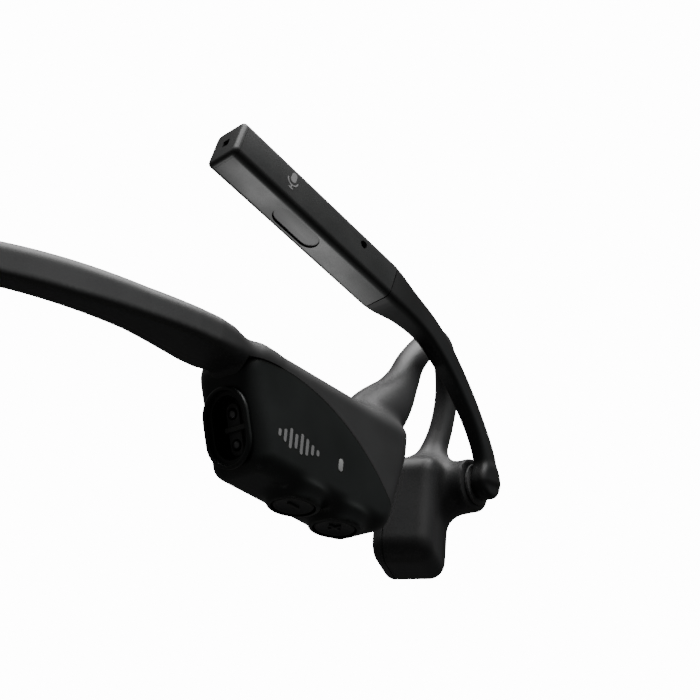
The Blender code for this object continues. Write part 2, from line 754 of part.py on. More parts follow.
def build_pivot(finishes):
    """Fixed boss on the right transducer, with the pin and friction washer that hold the boom."""
    hub = local_frame(RIGHT, PIVOT, 0.0)
    boss = add_solid(
        "boom_pivot_boss",
        prism(circle(BOSS_RADIUS), -9.8, BOSS_FACE - PIVOT[0], "out", 0.0, 0.5, 2),
        hub,
        finishes["silicone"],
    )
    beyond = 30.0
    keep_out = box((-beyond, TRANSDUCER_THICK / 2 + GAP), (-beyond, beyond), (-beyond, beyond))
    boolean(boss, add_cutter("boss_foot", keep_out, transducer_frame(RIGHT)))
    bore = prism(circle(PIN_RADIUS + GAP), -beyond, beyond)
    boolean(boss, add_cutter("boss_bore", bore, hub))
    face = BOSS_FACE - PIVOT[0]
    pin = prism(circle(PIN_RADIUS), face - 1.8, ARM_HALF_THICK - 0.9)
    add_solid("boom_pivot_pin", pin, hub, finishes["spring_steel"])
    washer = add_solid(
        "boom_friction_washer",
        prism(circle(WASHER_RADIUS), face + 0.2, face + 0.2 + WASHER_THICK),
        hub,
        finishes["cable_jacket"],
    )
    hole = prism(circle(PIN_RADIUS + GAP), -beyond, beyond)
    boolean(washer, add_cutter("washer_hole", hole, hub))


def build_boom_arm(finishes):
    """Slim curved arm with a round hub, and the cable that runs inside it."""
    hub = local_frame(RIGHT, PIVOT, 0.0)
    pivot = world(RIGHT, *PIVOT)
    nowhere = Matrix.Identity(4)
    across = Vector((-1.0, 0.0, 0.0))
    stations = smooth_stations(ARM_STATIONS, 2)
    path = [world(RIGHT, *s[:3]) for s in stations]
    sizes = [tuple(s[3:]) for s in stations]
    tip, root = world(RIGHT, *WAND_TIP), world(RIGHT, *WAND_ROOT)
    outlook = (tip - root).normalized()
    arm = add_solid(
        "boom_arm",
        tube(path, sizes, across, ARM_BORE, 16, None, outlook),
        nowhere,
        finishes["silicone"],
        pivot,
    )
    disc = prism(circle(HUB_RADIUS), -ARM_HALF_THICK, ARM_HALF_THICK + 0.02, "out", 0.3, 0.5, 2)
    boolean(arm, add_cutter("boom_hub_disc", disc, hub), "UNION")
    hole = prism(circle(PIN_RADIUS + PIN_CLEARANCE), -10.0, ARM_HALF_THICK - 0.6)
    boolean(arm, add_cutter("boom_hub_hole", hole, hub))

    inside = stations[2:]
    path = [world(RIGHT, *s[:3]) for s in inside]
    sizes = [(CABLE_RADIUS, CABLE_RADIUS, 2.0)] * len(path)
    add_solid(
        "boom_signal_cable", tube(path, sizes, across, 0.0, 8), nowhere, finishes["cable_jacket"], pivot
    )


def flare_at(from_tip, length):
    """How much larger the wand is at a distance from its tip than at its root."""
    return 1.0 + WAND_FLARE * (1.0 - from_tip / length)


def flared(bm, length):
    """Widens a solid along the wand towards the tip."""
    for vert in bm.verts:
        scale = flare_at(vert.co.z, length)
        vert.co.x *= scale
        vert.co.y *= scale
    return bm


def build_wand(finishes):
    """Square microphone wand: shell, end cap, mute button, board and two microphones."""
    frame = wand_frame()
    pivot = world(RIGHT, *PIVOT)
    length = (WAND_TIP - WAND_ROOT).length
    wide, tall = WAND_WIDE / 2, WAND_TALL / 2
    lower = -tall * flare_at(MUTE_FROM_TIP, length)
    section = rectangle(WAND_WIDE, WAND_TALL, WAND_CORNER)
    shell = add_solid(
        "wand_shell",
        flared(prism(rounded_outline(section), END_CAP + GAP, length - GAP, "up"), length),
        frame,
        finishes["hard_black"],
        pivot,
    )
    cavity = rounded_outline(inset_corners(section, WAND_WALL))
    hollow = flared(prism(cavity, -5.0, length - 1.6, "up"), length)
    boolean(shell, add_cutter("wand_hollow", hollow, frame))
    # The mute button's slot goes through the lower face, so its outline lies across and along.
    slot = rounded_outline(oblong(MUTE_WIDTH + 2 * GAP, MUTE_LENGTH + 2 * GAP, 0.0, MUTE_FROM_TIP))
    boolean(shell, add_cutter("mute_slot", prism(slot, lower - 2, lower + 1.5, "forward"), frame))
    pinhole = prism(circle(MIC_HOLE, 0.0, SECOND_MIC_FROM_TIP, 12), wide - 2, wide + 2, "out")
    boolean(shell, add_cutter("second_mic_hole", pinhole, frame))

    cap = add_solid(
        "wand_end_cap",
        flared(prism(rounded_outline(section), 0.0, END_CAP, "up", 0.4, 0.0, 2), length),
        frame,
        finishes["hard_black"],
        pivot,
    )
    hole = prism(rounded_outline(rectangle(2 * MIC_HOLE, 2 * MIC_HOLE, 0.15)), -2.0, 3.0, "up")
    boolean(cap, add_cutter("first_mic_hole", hole, frame))
    screen = prism(circle(1.3, sides=16), END_CAP + GAP, END_CAP + GAP + 0.3, "up")
    add_solid("microphone_mesh", screen, frame, finishes["mesh_black"], pivot)

    face = lower + MUTE_SUNK
    outline = rounded_outline(oblong(MUTE_WIDTH, MUTE_LENGTH, 0.0, MUTE_FROM_TIP))
    button = prism(outline, face, face + 1.3, "forward", 0.25, 0.0, 2)
    middle = frame @ Vector((0.0, face, MUTE_FROM_TIP))
    add_solid("mute_button", button, frame, finishes["mute_grey"], middle)
    board_low = 0.5
    switch = box((-1.4, 1.4), (face + 2.0, board_low - GAP), (MUTE_FROM_TIP - 1.5, MUTE_FROM_TIP + 1.5))
    add_solid("mute_switch", switch, frame, finishes["module_metal"], pivot)
    board = box((-1.8, 1.8), (board_low, board_low + 0.5), (4.0, 32.0))
    add_solid("microphone_board", board, frame, finishes["board_green"], pivot)
    for name, start in (("first", 4.6), ("second", SECOND_MIC_FROM_TIP - 1.5)):
        block = box((-1.1, 1.1), (-0.8, board_low - GAP), (start, start + 3.0))
        add_solid(f"{name}_microphone", block, frame, finishes["module_metal"], pivot)


def build_headset():
    clear_scene()
    finishes = make_finishes()
    build_band(finishes)
    shells = {side: build_pod(side, finishes) for side in (RIGHT, LEFT)}
    build_volume_buttons(shells[RIGHT], finishes)
    build_charging_port(shells[RIGHT], finishes)
    build_right_electronics(shells[RIGHT], finishes)
    build_battery(finishes)
    housings = {side: build_transducer(side, finishes) for side in (RIGHT, LEFT)}
    for side in (RIGHT, LEFT):
        build_hook(side, finishes)
    build_multifunction_button(housings[LEFT], finishes)
    build_pivot(finishes)
    build_boom_arm(finishes)
    build_wand(finishes)


build_headset()
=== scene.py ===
import json
import math

import bmesh
import bpy
import numpy as np
from mathutils import Matrix, Vector

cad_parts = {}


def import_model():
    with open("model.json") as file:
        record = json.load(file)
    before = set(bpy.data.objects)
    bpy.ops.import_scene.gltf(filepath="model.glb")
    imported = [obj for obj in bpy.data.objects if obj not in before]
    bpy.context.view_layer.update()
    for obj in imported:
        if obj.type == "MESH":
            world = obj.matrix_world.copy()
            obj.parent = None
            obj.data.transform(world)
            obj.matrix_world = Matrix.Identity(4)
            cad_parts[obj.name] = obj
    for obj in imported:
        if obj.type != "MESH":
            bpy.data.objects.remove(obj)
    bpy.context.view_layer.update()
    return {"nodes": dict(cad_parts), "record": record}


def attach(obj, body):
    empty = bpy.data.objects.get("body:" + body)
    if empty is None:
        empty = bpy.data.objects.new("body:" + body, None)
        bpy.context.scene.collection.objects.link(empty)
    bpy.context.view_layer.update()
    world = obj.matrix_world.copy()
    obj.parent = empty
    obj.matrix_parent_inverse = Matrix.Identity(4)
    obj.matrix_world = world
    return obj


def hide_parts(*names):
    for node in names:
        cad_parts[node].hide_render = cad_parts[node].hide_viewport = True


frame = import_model()

# Lengths are in millimetres until a mesh is made. Places are (out, forward, height), as in the
# part's own source: out is past the pods' outer face, forward is towards the wearer's face, and
# height is above the pods' middle.
MM = 0.001
RIGHT, LEFT = -1, 1
SIDE_NAMES = {RIGHT: "right", LEFT: "left"}
HALF_WIDTH, BASE_HEIGHT, FORWARD_MIDDLE = 69.0, 10.1, -13.3

POD_TOE_OUT = math.radians(5.0)
POD_THICKNESS = 11.5
POD_TOP, POD_BOTTOM = 11.4, -8.65
POD_CORNERS = (
    (-19.1, POD_TOP - 0.3, 4.5),
    (-11.4, POD_BOTTOM, 2.6),
    (18.5, POD_BOTTOM, 4.0),
    (22.1, 6.0, 8.0),
    (22.1, POD_TOP, 2.2),
)
POD_EDGE = 2.7
SEAM_HANDLES = ((-19.5, 6.0), (-7.0, 11.0), (10.5, 6.5), (20.5, -7.0))
SEAM_LINE = 0.1
LID_FACE, LID_GAP = -POD_THICKNESS + 1.2, 0.06
CAVITY_WALL, FRAME_FACE, FRAME_WALL = 1.15, 1.45, 0.9

VOLUME_BUTTONS = {"volume_down": 0.2, "volume_up": 9.9}
VOLUME_OUT = -4.4
VOLUME_RADIUS = 3.25

PORT_CENTRE = (-5.6, -13.98, -2.4)
PORT_SLANT = math.atan2(7.5, 20.2)
PORT_WIDTH, PORT_HEIGHT = 9.0, 12.6
CONTACT_ACROSS = -0.8
CONTACT_LEVELS = {"upper": 2.4, "lower": -2.4}
LIGHT_PLACE = (5.2, -2.1)
LIGHT_WIDTH, LIGHT_HEIGHT = 1.0, 2.1

BAND_START = (-5.75, -20.4, 7.75)
BAND_REACH, BAND_BACK, BAND_BACK_HANDLE, BAND_DROOP = 35.0, -77.0, 41.0, 1.9
BAND_INTO_POD = 10.0
BAND_BORE, HOOK_BORE = 1.4, 0.9
# Along the band from the pod: distance, half depth, half height
BAND_SIZES = (
    (-12.0, 2.8, 1.4),
    (-6.0, 3.5, 1.7),
    (-3.0, 4.2, 2.3),
    (0.0, 4.85, 2.6),
    (3.0, 5.1, 2.6),
    (7.0, 4.8, 2.6),
    (15.0, 3.7, 2.7),
    (25.0, 2.9, 3.0),
    (38.0, 2.5, 3.0),
    (150.0, 2.5, 3.0),
)

# Ear hooks: out, forward, height, half width in the hook's plane, half width across
HOOK_STATIONS = (
    (-4.4, 16.8, 9.5, 5.8, 4.2),
    (-4.3, 18.8, 12.5, 5.3, 4.0),
    (-4.2, 21.4, 15.5, 4.8, 3.8),
    (-4.4, 24.1, 18.8, 4.0, 3.4),
    (-5.3, 27.8, 24.0, 3.0, 2.8),
    (-6.3, 31.3, 29.4, 2.5, 2.5),
    (-7.0, 36.4, 35.3, 2.3, 2.3),
    (-8.0, 41.4, 38.7, 2.2, 2.2),
    (-8.9, 45.7, 36.9, 2.0, 2.1),
    (-9.7, 48.0, 31.0, 1.9, 2.1),
    (-10.6, 48.1, 24.5, 2.0, 2.2),
    (-11.6, 47.1, 19.2, 2.4, 2.6),
    (-12.2, 46.0, 16.0, 3.4, 3.2),
)

TRANSDUCER_PLACE = (-12.7, 44.2, 6.55)
TRANSDUCER_YAW = math.radians(-20.0)
TRANSDUCER_THICK, TRANSDUCER_WIDE, TRANSDUCER_TALL = 10.5, 14.0, 19.5
TRANSDUCER_CORNER, TRANSDUCER_EDGE = 3.8, 2.6
PAD_JOINT, PAD_GAP = -TRANSDUCER_THICK / 2 + 2.1, 0.06
MULTI_BUTTON_RADIUS = 3.6

PIVOT = (-1.1, 49.1, 13.1)
BOSS_RADIUS, BOSS_FACE = 4.7, -3.3
HUB_RADIUS, ARM_HALF_THICK = 3.0, 1.4
# out, forward, height, half width in plane, half width across, corner radius
ARM_STATIONS = (
    (-1.1, 49.1, 13.1, 2.4, 1.4, 0.9),
    (-1.1, 48.2, 17.1, 2.1, 1.4, 0.9),
    (-1.1, 44.8, 21.6, 1.9, 1.4, 0.9),
    (-1.1, 39.6, 26.2, 2.1, 1.45, 0.9),
    (-1.1, 33.3, 30.3, 2.3, 1.6, 0.9),
    (-1.2, 27.6, 32.9, 2.4, 1.75, 0.9),
    (-1.6, 21.6, 34.2, 2.7, 2.3, 1.0),
    (-2.15, 16.0, 35.0, 3.4, 3.12, 1.2),
    (-3.05, 11.5, 36.3, 3.5, 3.2, 1.2),
)
WAND_ROOT = Vector((-2.28, 15.3, 35.2))
WAND_TIP = Vector((-9.42, -19.4, 45.45))
WAND_OUTWARD = Vector((0.981, -0.182, 0.071))
WAND_WIDE, WAND_TALL, WAND_CORNER, WAND_WALL = 6.4, 7.0, 1.2, 1.0
WAND_FLARE = 0.065
END_CAP = 1.0
MUTE_FROM_TIP, MUTE_LENGTH, MUTE_WIDTH, MUTE_SUNK = 17.5, 9.3, 3.7, 0.35

# A cutting solid reaches this far, which is past everything it cuts
BEYOND = 30.0
GRID = 0.42


# ---- frames -------------------------------------------------------------------------------------


def world(side, out, forward, height):
    """The world point, in millimetres, of a place on one side of the head."""
    return Vector((side * (HALF_WIDTH + out), FORWARD_MIDDLE - forward, BASE_HEIGHT + height))


def local_frame(side, place, yaw):
    """Matrix from local (out, forward, up) axes, turned about the vertical, to the world."""
    c, s = math.cos(yaw), math.sin(yaw)
    origin = world(side, *place)
    return Matrix((
        (side * c, side * s, 0.0, origin.x),
        (s, -c, 0.0, origin.y),
        (0.0, 0.0, 1.0, origin.z),
        (0.0, 0.0, 0.0, 1.0),
    ))


def pod_frame(side):
    return local_frame(side, (0.0, 0.0, 0.0), POD_TOE_OUT)


def transducer_frame(side):
    return local_frame(side, TRANSDUCER_PLACE, TRANSDUCER_YAW)


def port_frame():
    """Local axes of the charging port: across, up along the rear wall, out of the wall."""
    c, s = math.cos(PORT_SLANT), math.sin(PORT_SLANT)
    return pod_frame(RIGHT) @ Matrix((
        (1.0, 0.0, 0.0, PORT_CENTRE[0]),
        (0.0, -s, -c, PORT_CENTRE[1]),
        (0.0, c, -s, PORT_CENTRE[2]),
        (0.0, 0.0, 0.0, 1.0),
    ))


def wand_frame():
    """Local axes of the microphone wand: out of its outward face, up, from its tip to its root."""
    tip, root = world(RIGHT, *WAND_TIP), world(RIGHT, *WAND_ROOT)
    along = (root - tip).normalized()
    outward = Vector((-WAND_OUTWARD.x, -WAND_OUTWARD.y, WAND_OUTWARD.z))
    outward = (outward - outward.dot(along) * along).normalized()
    up = along.cross(outward)
    if up.z < 0:
        up = -up
    turned = Matrix((outward, up, along)).transposed().to_4x4()
    turned.translation = tip
    return turned


# ---- outlines and plain solids ------------------------------------------------------------------


def rounded_outline(corners, steps=8):
    """Points of a polygon whose corners (x, y, radius) are rounded by arcs."""
    points = []
    count = len(corners)
    for i, (x, y, radius) in enumerate(corners):
        here = Vector((x, y))
        before = (Vector(corners[i - 1][:2]) - here).normalized()
        after = (Vector(corners[(i + 1) % count][:2]) - here).normalized()
        half = before.angle(after) / 2
        centre = here + (before + after).normalized() * (radius / math.sin(half))
        reach = radius / math.tan(half)
        start, end = here + before * reach - centre, here + after * reach - centre
        turn = start.angle(end)
        for k in range(steps + 1):
            share = k / steps
            spread = start * math.sin((1 - share) * turn) + end * math.sin(share * turn)
            points.append(centre + spread / math.sin(turn))
    return points


def inset_corners(corners, distance):
    """The polygon's corners with every edge moved inwards."""
    area = sum(
        corners[i - 1][0] * corners[i][1] - corners[i][0] * corners[i - 1][1]
        for i in range(len(corners))
    )
    inwards = 1.0 if area > 0 else -1.0
    lines = []
    for i, corner in enumerate(corners):
        start = Vector(corners[i - 1][:2])
        along = (Vector(corner[:2]) - start).normalized()
        lines.append((start + Vector((-along.y, along.x)) * inwards * distance, along))
    moved = []
    for i, corner in enumerate(corners):
        (p, d), (q, e) = lines[i], lines[(i + 1) % len(corners)]
        spot = p + d * ((q - p).cross(e) / d.cross(e))
        moved.append((spot.x, spot.y, max(corner[2] - distance, 0.4)))
    return moved


def rectangle(width, height, radius, x=0.0, y=0.0):
    w, h = width / 2, height / 2
    return ((x - w, y - h, radius), (x + w, y - h, radius), (x + w, y + h, radius), (x - w, y + h, radius))


def oblong(width, height, x=0.0, y=0.0, steps=10):
    """Outline with fully round ends."""
    return rounded_outline(rectangle(width, height, min(width, height) / 2 - 0.001, x, y), steps)


def circle(radius, x=0.0, y=0.0, sides=48):
    turns = (2 * math.pi * k / sides for k in range(sides))
    return [Vector((x + radius * math.cos(a), y + radius * math.sin(a))) for a in turns]


AXES = {
    "out": lambda p, d: (d, p.x, p.y),
    "forward": lambda p, d: (p.x, d, p.y),
    "up": lambda p, d: (p.x, p.y, d),
}


def prism(outline, low, high, along="out", low_edge=0.0, high_edge=0.0, steps=4):
    """An outline pushed along an axis, with rounded edges at either end."""
    put = AXES[along]
    bm = bmesh.new()
    rings = [[bm.verts.new(put(p, d)) for p in outline] for d in (low, high)]
    count = len(outline)
    caps = [bm.faces.new(ring) for ring in rings]
    for i in range(count):
        j = (i + 1) % count
        bm.faces.new((rings[0][i], rings[0][j], rings[1][j], rings[1][i]))
    bmesh.ops.recalc_face_normals(bm, faces=bm.faces)
    for cap, edge in zip(caps, (low_edge, high_edge)):
        if edge > 0:
            bmesh.ops.bevel(
                bm, geom=list(cap.edges), offset=edge, segments=steps, profile=0.5,
                affect="EDGES", clamp_overlap=True,
            )
    return bm


def block(u, v, w):
    corners = [Vector((v[0], w[0])), Vector((v[1], w[0])), Vector((v[1], w[1])), Vector((v[0], w[1]))]
    return prism(corners, u[0], u[1])


def bridge(bm, rings):
    """Faces between each ring of points and the next."""
    for a, b in zip(rings, rings[1:]):
        for k in range(len(a)):
            j = (k + 1) % len(a)
            bm.faces.new((a[k], a[j], b[j], b[k]))


def swept(outlines, places, along="up"):
    """A solid through matching outlines, one to each place along a local axis."""
    put = AXES[along]
    bm = bmesh.new()
    rings = [[bm.verts.new(put(p, d)) for p in outline] for outline, d in zip(outlines, places)]
    bm.faces.new(rings[0])
    bm.faces.new(rings[-1])
    bridge(bm, rings)
    return bm


def tube(path, radius, sides=12):
    """A round rod along a path of world points."""
    bm = bmesh.new()
    rings = []
    last = len(path) - 1
    for i, centre in enumerate(path):
        ahead = (path[min(i + 1, last)] - path[max(i - 1, 0)]).normalized()
        across = ahead.cross(Vector((0.31, 0.17, 0.94))).normalized()
        up = ahead.cross(across)
        rings.append([
            bm.verts.new(centre + (across * p.x + up * p.y)) for p in circle(radius, sides=sides)
        ])
    bm.faces.new(rings[0])
    bm.faces.new(rings[-1])
    bridge(bm, rings)
    return bm


def solid(name, bm, place=None):
    """One object from a mesh in local millimetres."""
    if place is not None:
        bmesh.ops.transform(bm, matrix=place, verts=bm.verts)
    bmesh.ops.recalc_face_normals(bm, faces=bm.faces)
    bmesh.ops.scale(bm, vec=(MM, MM, MM), verts=bm.verts)
    mesh = bpy.data.meshes.new(name)
    bm.to_mesh(mesh)
    bm.free()
    made = bpy.data.objects.new(name, mesh)
    bpy.context.scene.collection.objects.link(made)
    return made


def apply_steps(obj):
    """Replaces the object's mesh by what its modifiers make of it."""
    graph = bpy.context.evaluated_depsgraph_get()
    mesh = bpy.data.meshes.new_from_object(obj.evaluated_get(graph))
    obj.modifiers.clear()
    old = obj.data
    obj.data = mesh
    bpy.data.meshes.remove(old)


def combine(obj, others, operation="DIFFERENCE"):
    """Cuts the other solids from obj, or joins or intersects them, and removes them."""
    for other in others:
        step = obj.modifiers.new("step", "BOOLEAN")
        step.operation = operation
        step.solver = "MANIFOLD"
        step.object = other
        apply_steps(obj)
        bpy.data.objects.remove(other)
    return obj


# ---- distance fields ----------------------------------------------------------------------------


def soft_min(a, b, blend):
    """The smaller of two distances, with a fillet about blend wide where they meet."""
    share = np.maximum(blend - np.abs(a - b), 0.0) / blend
    return np.minimum(a, b) - share**2 * blend / 4


def box_distance(p, low, high):
    """Distance outside a box, which is less than the distance to anything in it."""
    outside = np.maximum(np.maximum(np.array(low) - p, p - np.array(high)), 0.0)
    return np.sqrt((outside**2).sum(1))


def within(p, low, high, field, margin=8.0):
    """A field that is only worked out near the box that holds its surface."""
    away = box_distance(p, low, high)
    near = away < margin
    away[near] = field(p[near])
    return away


def side_places(x, p):
    """Places (out, forward, height) of world points on one side, x being towards that side."""
    return np.column_stack((x - HALF_WIDTH, FORWARD_MIDDLE - p[:, 1], p[:, 2] - BASE_HEIGHT))


def turned(p, place, yaw):
    """Side places (out, forward, height) in a frame turned about the vertical."""
    q = p - np.array(place)
    c, s = math.cos(yaw), math.sin(yaw)
    return np.stack((c * q[:, 0] - s * q[:, 1], s * q[:, 0] + c * q[:, 1], q[:, 2]), 1)


def outline_distance(x, y, outline):
    """Signed distance to a closed outline, negative inside."""
    best = np.full(x.shape, 1e9)
    inside = np.zeros(x.shape, bool)
    for a, b in zip(outline, [*outline[1:], outline[0]]):
        ex, ey = b.x - a.x, b.y - a.y
        px, py = x - a.x, y - a.y
        t = np.clip((px * ex + py * ey) / (ex * ex + ey * ey), 0.0, 1.0)
        best = np.minimum(best, (px - t * ex) ** 2 + (py - t * ey) ** 2)
        if abs(ey) > 1e-9:
            crosses = ((a.y > y) != (b.y > y)) & (px < ex * py / ey)
            inside ^= crosses
    return np.where(inside, -1.0, 1.0) * np.sqrt(best)


def slab(flat, depth, edge):
    """A flat outline given thickness: flat and depth are signed distances, edge is the rounding."""
    x, z = flat + edge, depth + edge
    return np.hypot(np.maximum(x, 0), np.maximum(z, 0)) + np.minimum(np.maximum(x, z), 0.0) - edge


POD_OUTLINE = rounded_outline(POD_CORNERS)


def pod_field(p):
    def exact(q):
        u, v, w = turned(q, (0.0, 0.0, 0.0), POD_TOE_OUT).T
        depth = np.abs(u + POD_THICKNESS / 2) - POD_THICKNESS / 2
        return slab(outline_distance(v, w, POD_OUTLINE), depth, POD_EDGE)

    return within(p, (-15.0, -21.0, -10.0), (3.0, 24.0, 12.0), exact)


def collar_field(p):
    """Raised rims round the two volume buttons."""
    u, v, w = turned(p, (0.0, 0.0, 0.0), POD_TOE_OUT).T
    best = np.full(len(p), 1e9)
    for forward in VOLUME_BUTTONS.values():
        radius = np.hypot(u - VOLUME_OUT, v - forward)
        wall = radius - (4.1 + 0.15 * np.clip(w + BASE_HEIGHT, 0.0, 2.6))
        depth = np.abs(w + 8.8) - (BASE_HEIGHT - 8.8)
        best = np.minimum(best, slab(wall, depth, 0.35))
    return best


def bezier(handles, count):
    rows = [np.array(h, float) for h in handles]
    t = np.linspace(0.0, 1.0, count)[:, None]
    a, b, c, d = rows
    return a * (1 - t) ** 3 + b * 3 * (1 - t) ** 2 * t + c * 3 * (1 - t) * t**2 + d * t**3


def band_points(count):
    """The band's centreline on one side: distance from the midline, forward, height."""
    out, forward, height = BAND_START
    x = HALF_WIDTH + out
    lead = (x - math.sin(POD_TOE_OUT) * BAND_REACH, forward - math.cos(POD_TOE_OUT) * BAND_REACH)
    flat = bezier(((x, forward), lead, (BAND_BACK_HANDLE, BAND_BACK), (0.0, BAND_BACK)), count)
    level = height - BAND_DROOP * np.linspace(0.0, 1.0, count)
    return np.column_stack((flat, level))


def nearest_on_path(p, path):
    """For each point, the nearest place on a path: (segment number + share)."""
    best = np.full(len(p), 1e18)
    place = np.zeros(len(p))
    for i in range(len(path) - 1):
        a, e = path[i], path[i + 1] - path[i]
        q = p - a
        t = np.clip((q @ e) / (e @ e), 0.0, 1.0)
        away = ((q - t[:, None] * e) ** 2).sum(1)
        closer = away < best
        best[closer] = away[closer]
        place[closer] = i + t[closer]
    return place


def along_path(path, place):
    """Points and unit directions at places on a path."""
    i = np.minimum(place.astype(int), len(path) - 2)
    share = (place - i)[:, None]
    spot = path[i] * (1 - share) + path[i + 1] * share
    step = np.gradient(path, axis=0)
    ahead = step[i] * (1 - share) + step[i + 1] * share
    return spot, ahead / np.linalg.norm(ahead, axis=1, keepdims=True)


def rounded_section(x, y, half_x, half_y, radius):
    """Signed distance to a rectangle with rounded corners."""
    qx, qy = np.abs(x) - half_x + radius, np.abs(y) - half_y + radius
    return np.hypot(np.maximum(qx, 0), np.maximum(qy, 0)) + np.minimum(np.maximum(qx, qy), 0) - radius


def led_in(path, reach):
    """A path that starts earlier by a straight stretch."""
    lead = path[0] - path[1]
    return np.vstack((path[0] + lead / np.linalg.norm(lead) * reach, path))


def distances(path):
    """How far along a path each of its points is."""
    return np.concatenate(([0.0], np.cumsum(np.linalg.norm(np.diff(path, axis=0), axis=1))))


BAND_PATH = led_in(band_points(96), BAND_INTO_POD)
BAND_RUN = distances(BAND_PATH) - BAND_INTO_POD


def band_field(p):
    def exact(q):
        flat = np.column_stack((q[:, 0] + HALF_WIDTH, q[:, 1]))
        place = nearest_on_path(flat, BAND_PATH[:, :2])
        spot, ahead = along_path(BAND_PATH, place)
        run = np.interp(place, np.arange(len(BAND_RUN)), BAND_RUN)
        table = np.array(BAND_SIZES)
        half_depth = np.interp(run, table[:, 0], table[:, 1])
        half_height = np.interp(run, table[:, 0], table[:, 2])
        offset = flat - spot[:, :2]
        x = ahead[:, 0] * offset[:, 1] - ahead[:, 1] * offset[:, 0]
        x = x / np.hypot(ahead[:, 0], ahead[:, 1])
        at_end = (place <= 0.0) | (place >= len(BAND_PATH) - 1)
        past = np.where(at_end, np.abs((offset * ahead[:, :2]).sum(1)), 0.0)
        y = q[:, 2] - spot[:, 2]
        lower_outer = (x > 0) & (y < 0)
        tight = 0.9 + 1.1 * np.clip((4.0 - run) / 6.0, 0.0, 1.0)
        radius = np.where(lower_outer, tight, 2.0)
        section = rounded_section(x, y, half_depth, half_height, radius)
        return np.where(past > 0.0, np.hypot(np.maximum(section, 0), past), section)

    return within(p, (-72.0, -82.0, 2.0), (3.0, -10.0, 13.0), exact)


def catmull(stations, steps):
    """More stations along a smooth curve through the given ones."""
    rows = np.array(stations, float)
    rows = np.vstack((2 * rows[0] - rows[1], rows, 2 * rows[-1] - rows[-2]))
    made = []
    for i in range(1, len(rows) - 2):
        a, b, c, d = rows[i - 1 : i + 3]
        for t in np.arange(steps) / steps:
            slope, bend, twist = c - a, 2 * a - 5 * b + 4 * c - d, 3 * b - a - 3 * c + d
            made.append(0.5 * (2 * b + slope * t + bend * t**2 + twist * t**3))
    made.append(rows[-2])
    return np.array(made)


HOOK_ROWS = catmull(HOOK_STATIONS, 5)
ARM_ROWS = catmull(ARM_STATIONS, 6)


def section_axes(q, rows):
    """Offsets from the nearest place on a path: in plane, across and beyond its ends."""
    path = rows[:, :3]
    place = nearest_on_path(q, path)
    spot, ahead = along_path(path, place)
    across = np.array((1.0, 0.0, 0.0)) - ahead[:, :1] * ahead
    across /= np.linalg.norm(across, axis=1, keepdims=True)
    normal = np.cross(ahead, across)
    offset = q - spot
    sizes = np.stack([np.interp(place, np.arange(len(rows)), rows[:, k]) for k in range(3, rows.shape[1])])
    at_end = (place <= 0.0) | (place >= len(rows) - 1)
    past = np.where(at_end, (offset * ahead).sum(1), 0.0)
    return (offset * normal).sum(1), (offset * across).sum(1), past, sizes


def hook_field(p):
    def exact(q):
        x, y, z, (rx, ry) = section_axes(q, HOOK_ROWS)
        rz = np.minimum(rx, ry)
        scaled = np.sqrt((x / rx) ** 2 + (y / ry) ** 2 + (z / rz) ** 2)
        steep = np.sqrt((x / rx**2) ** 2 + (y / ry**2) ** 2 + (z / rz**2) ** 2)
        return scaled * (scaled - 1.0) / np.maximum(steep, 1e-6)

    return within(p, (-16.0, 8.0, 2.0), (0.0, 52.0, 42.0), exact)


def transducer_field(p):
    def exact(q):
        t, x, y = turned(q, TRANSDUCER_PLACE, TRANSDUCER_YAW).T
        flat = rounded_section(x, y, TRANSDUCER_WIDE / 2, TRANSDUCER_TALL / 2, TRANSDUCER_CORNER)
        return slab(flat, np.abs(t) - TRANSDUCER_THICK / 2, TRANSDUCER_EDGE)

    return within(p, (-21.0, 34.0, -4.0), (-3.0, 55.0, 17.0), exact)


def boss_field(p):
    radius = np.hypot(p[:, 1] - PIVOT[1], p[:, 2] - PIVOT[2]) - BOSS_RADIUS
    depth = np.abs(p[:, 0] - (BOSS_FACE - 4.0)) - 4.0
    return slab(radius, depth, 0.5)


def skin_field(p):
    """The one soft skin over band, pods, hooks and transducers, in world millimetres."""
    side = side_places(np.abs(p[:, 0]), p)
    fillet = 1.5 + 1.5 * np.clip((side[:, 2] - 7.0) / 3.0, 0.0, 1.0)
    body = soft_min(pod_field(side), band_field(side), fillet)
    body = soft_min(body, hook_field(side), 2.6)
    motor = transducer_field(side)
    right = p[:, 0] < 0
    motor[right] = soft_min(motor[right], boss_field(side[right]), 3.0)
    return soft_min(body, motor, 4.0)


def shell_field(side_sign):
    def field(p):
        side = side_places(side_sign * p[:, 0], p)
        body = pod_field(side)
        if side_sign == RIGHT:
            body = soft_min(body, collar_field(side), 1.6)
        return body

    return field


def arm_field(p):
    """The boom's curved arm with its round hub, in world millimetres."""
    side = side_places(RIGHT * p[:, 0], p)
    x, y, z, (rx, ry, corner) = section_axes(side, ARM_ROWS)
    arm = rounded_section(x, y, rx, ry, corner)
    arm = np.where(np.abs(z) > 0, np.hypot(np.maximum(arm, 0), z), arm)
    radius = np.hypot(side[:, 1] - PIVOT[1], side[:, 2] - PIVOT[2]) - HUB_RADIUS
    hub = slab(radius, np.abs(side[:, 0] - PIVOT[0]) - ARM_HALF_THICK, 0.8)
    return soft_min(arm, hub, 1.2)


# ---- surfaces from fields -----------------------------------------------------------------------


CORNERS = [(i, j, k) for i in (0, 1) for j in (0, 1) for k in (0, 1)]


